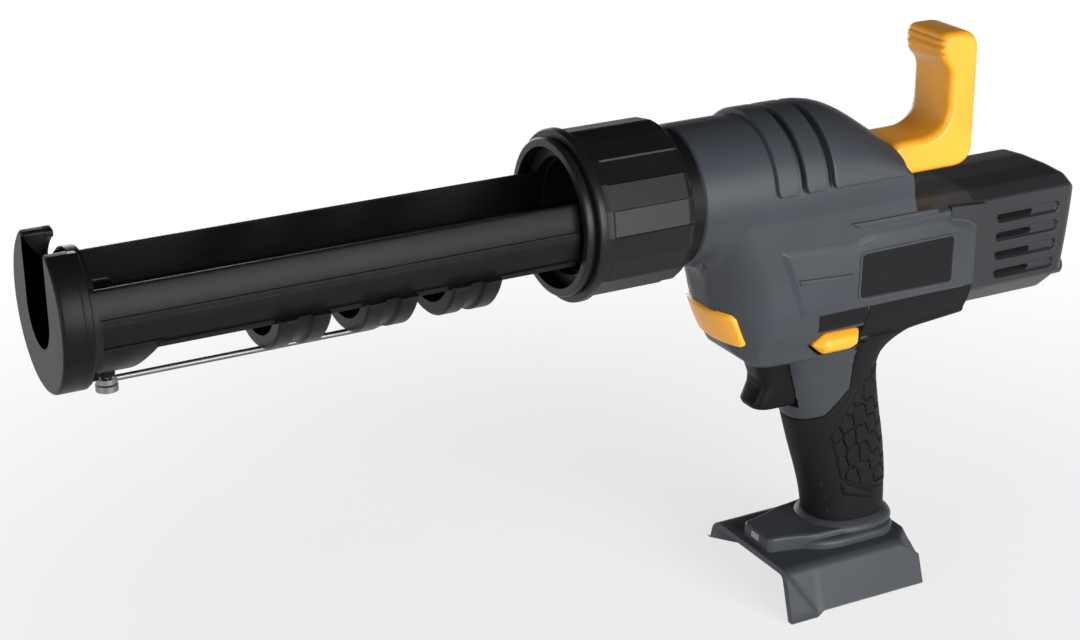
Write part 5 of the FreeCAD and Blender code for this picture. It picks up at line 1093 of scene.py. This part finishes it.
wall = wall_section(-13.4, 13.0, TRAY_INNER, 27.0, 0.8)
rail = wall_section(-3.0, 2.3, 26.4, 28.0, 0.5)
lower_rail = wall_section(-13.4, -11.0, 26.0, 27.8, 0.5)
tray_shapes = [bar(wall, TRAY_START, 351), bar(rail, 142.4, 347.6), bar(lower_rail, 142.4, 322)]
tray_shapes += [flip(shape) for shape in tray_shapes]
tray_shapes += [strap(178 + 37.25 * i) for i in range(3)]
pin_boss = round_line(3.6, full_turn(40), (336, 0))
tray_shapes += [nose_shell(), slab(pin_boss, 173.1, 178.6, 0.3, ALONG_Z, 0.3)]
flange = [(TRAY_START, TRAY_INNER), (TRAY_START, 32.2), (136, 32.2), (136, TRAY_INNER)]
tray_shapes += [turned(flange, full_turn(120))]
piece("tray_skin", tray_shapes, "black_plastic", "housing", "cradle_tray", 40)

# %% [markdown]
# ## Front cap
# The cap is a round plate with an open slot for the nozzle, which leaves two ears at the top. It is one
# outline, carried along the axis with a broad rim in front. A thin skirt behind it grips the trough. It is
# longer on the sides than below, with a slot low on each side.

# %% Front cap
CAP_RADIUS = 32.4
SLOT_HALF = 13.0
EAR_TOP = 27.0


def cap_outline(inner_radius):
    """A ring that is open at the top, from the outer circle round the ears to the slot."""
    ear = math.asin(EAR_TOP / CAP_RADIUS)
    outer = round_line(CAP_RADIUS, linspace(ear, -pi - ear, 121))
    if inner_radius <= SLOT_HALF:
        inner, top = linspace(pi, 2 * pi, 41), EAR_TOP
    else:
        gap = math.asin(SLOT_HALF / inner_radius)
        inner, top = linspace(pi / 2 + gap, 2.5 * pi - gap, 101), EAR_TOP - 0.5
    inner = round_line(inner_radius, inner)
    line = join([outer, [(-SLOT_HALF, top)], inner, [(SLOT_HALF, top)]])
    radius = np.zeros(len(line))
    radius[[0, 120, 121, -1]] = 1.6
    return rounded(line, radius, 6) + (0, AXIS)


def sleeve_section(count):
    """The skirt's places and radii, one row for each angle."""
    away = np.abs(linspace(-126, 126, count))
    slot = smooth((57 - away) / 1.5) * smooth((away - 43) / 1.5)
    bottom = smooth((43 - away) / 1.5)
    ends = np.clip((away - 84) / 42, 0, 1) ** 1.5
    rear = 344.6 + 5.2 * slot + 2.4 * bottom + 3.8 * ends
    front = np.full(count, 351.2)
    places = np.stack([rear + 0.8, rear, rear, front, front], axis=1)
    radii = np.broadcast_to([27.3, 28.4, 31.6, 32.3, 27.3], places.shape)
    return np.stack([places, radii], axis=-1)


lip = [(341.6, 25.2), (347.9, 25.2), (347.9, 23.0), (345.8, 23.0)]
cap_shapes = [
    slab(cap_outline(SLOT_HALF), 350.9, 360, 1.5, ALONG_X, 0.4, 6),
    slab(cap_outline(27.2), 347.7, 351.2, 0.3, ALONG_X, 0.6),
    turned(sleeve_section(280), radians(linspace(-216, 36, 280)), loop=False),
    turned(lip, radians(linspace(-206, 26, 90)), loop=False),
]
piece("front_cap_skin", cap_shapes, "black_plastic", "housing", "cradle_front_cap", 40)

# %% [markdown]
# ## Trigger and buttons
# The trigger is a smooth hook: its front line curves in for the finger. It is a stack of rounded rectangles,
# one for each height. The lock-off button on the neck is a bevelled plate on a bolt that crosses the tool.
# The rod release is a patch of the chin's own rounded surface, lifted off it.

# %% Trigger
def trigger_skin():
    """Rounded rectangles by height between a curved front line and a straight rear line."""
    height = join([[94.6, 94.8, 95.2], linspace(95.8, 123.5, 46)])[:, None]
    marks = [94.6, 94.8, 95.4, 96.5, 98.5, 102, 106, 110, 115, 119, 123.5]
    front = np.interp(height, marks, [32, 35.5, 38.4, 40.6, 41.4, 39.6, 37.8, 37.6, 39.4, 41.6, 43])
    half = np.interp(height, marks, [4, 6, 7.4, 8.3, 8.8, 9, 9, 9, 9, 9, 9])
    rear = np.interp(height, [94.6, 95.4], [19, 16])
    turn = full_turn(64)
    power = np.where(cos(turn) > 0, 0.55, 0.2)
    x = (front + rear) / 2 + (front - rear) / 2 * raised(cos(turn), power)
    return skin(sheet(x, half * raised(sin(turn), power), height))


piece("trigger_skin", [trigger_skin()], "black_plastic", "trigger", "trigger", 50)

# %% Buttons
bolt_line = rounded([(3, 126.5), (15, 126.5), (15, 132.5), (3, 132.5)], 2)
lock_shapes = [faceted(LOCK_CORNERS[::-1], 1.8, 16, 26, 3.0, 3.4)]
lock_shapes += [slab(bolt_line, -26, 17, 0.5, ALONG_Y, 1.2)]
piece("lock_button_skin", lock_shapes, "orange_plastic", "lock_off", "lock_off_button", 50)


def chin_patch(height, turn, lift):
    """Points of the chin's rounded front at heights and turns about it, lifted off its surface."""
    front = follow(chin_line[:, ::-1], height)
    x = front - CHIN_LONG + (CHIN_LONG + lift) * cos(turn)
    return sheet(x, (FLANK + lift) * sin(turn), height - 0.45 * lift)


def release_button():
    """That patch, with a rim that rises along a quarter circle."""
    share = linspace(0, 1, 60)
    height, turn = (134.2 + 17 * share)[:, None], radians(-42 + 84 * share)
    from_edge = 0.5 - np.abs(share - 0.5)
    round_corner = 4
    side = np.maximum(round_corner - from_edge * 38, 0)
    end = np.maximum(round_corner - from_edge * 20, 0)[:, None]
    lift = -2.5 + 4.1 * quarter((round_corner - np.hypot(side, end)) / 1.8)
    return plate(chin_patch(height, turn, lift), chin_patch(height, turn, -6.0))


piece("release_button_skin", [release_button()], "orange_plastic", "release", "release_button", 50)

# %% Name plates
name_plate = slab(plate_line, 30.0, 31.1, 0.35, ALONG_Y)
piece("name_plate_face_left", [name_plate], "plate_black", "housing", "name_plate_left")
piece("name_plate_face_right", [flip(name_plate)], "plate_black", "housing", "name_plate_right")

# %% Sizes and finish
view_low, view_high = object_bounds()
for box, low, high in (("CAD", cad_low, cad_high), ("visual", view_low, view_high)):
    print(box, "box", [round(x, 4) for x in high - low])
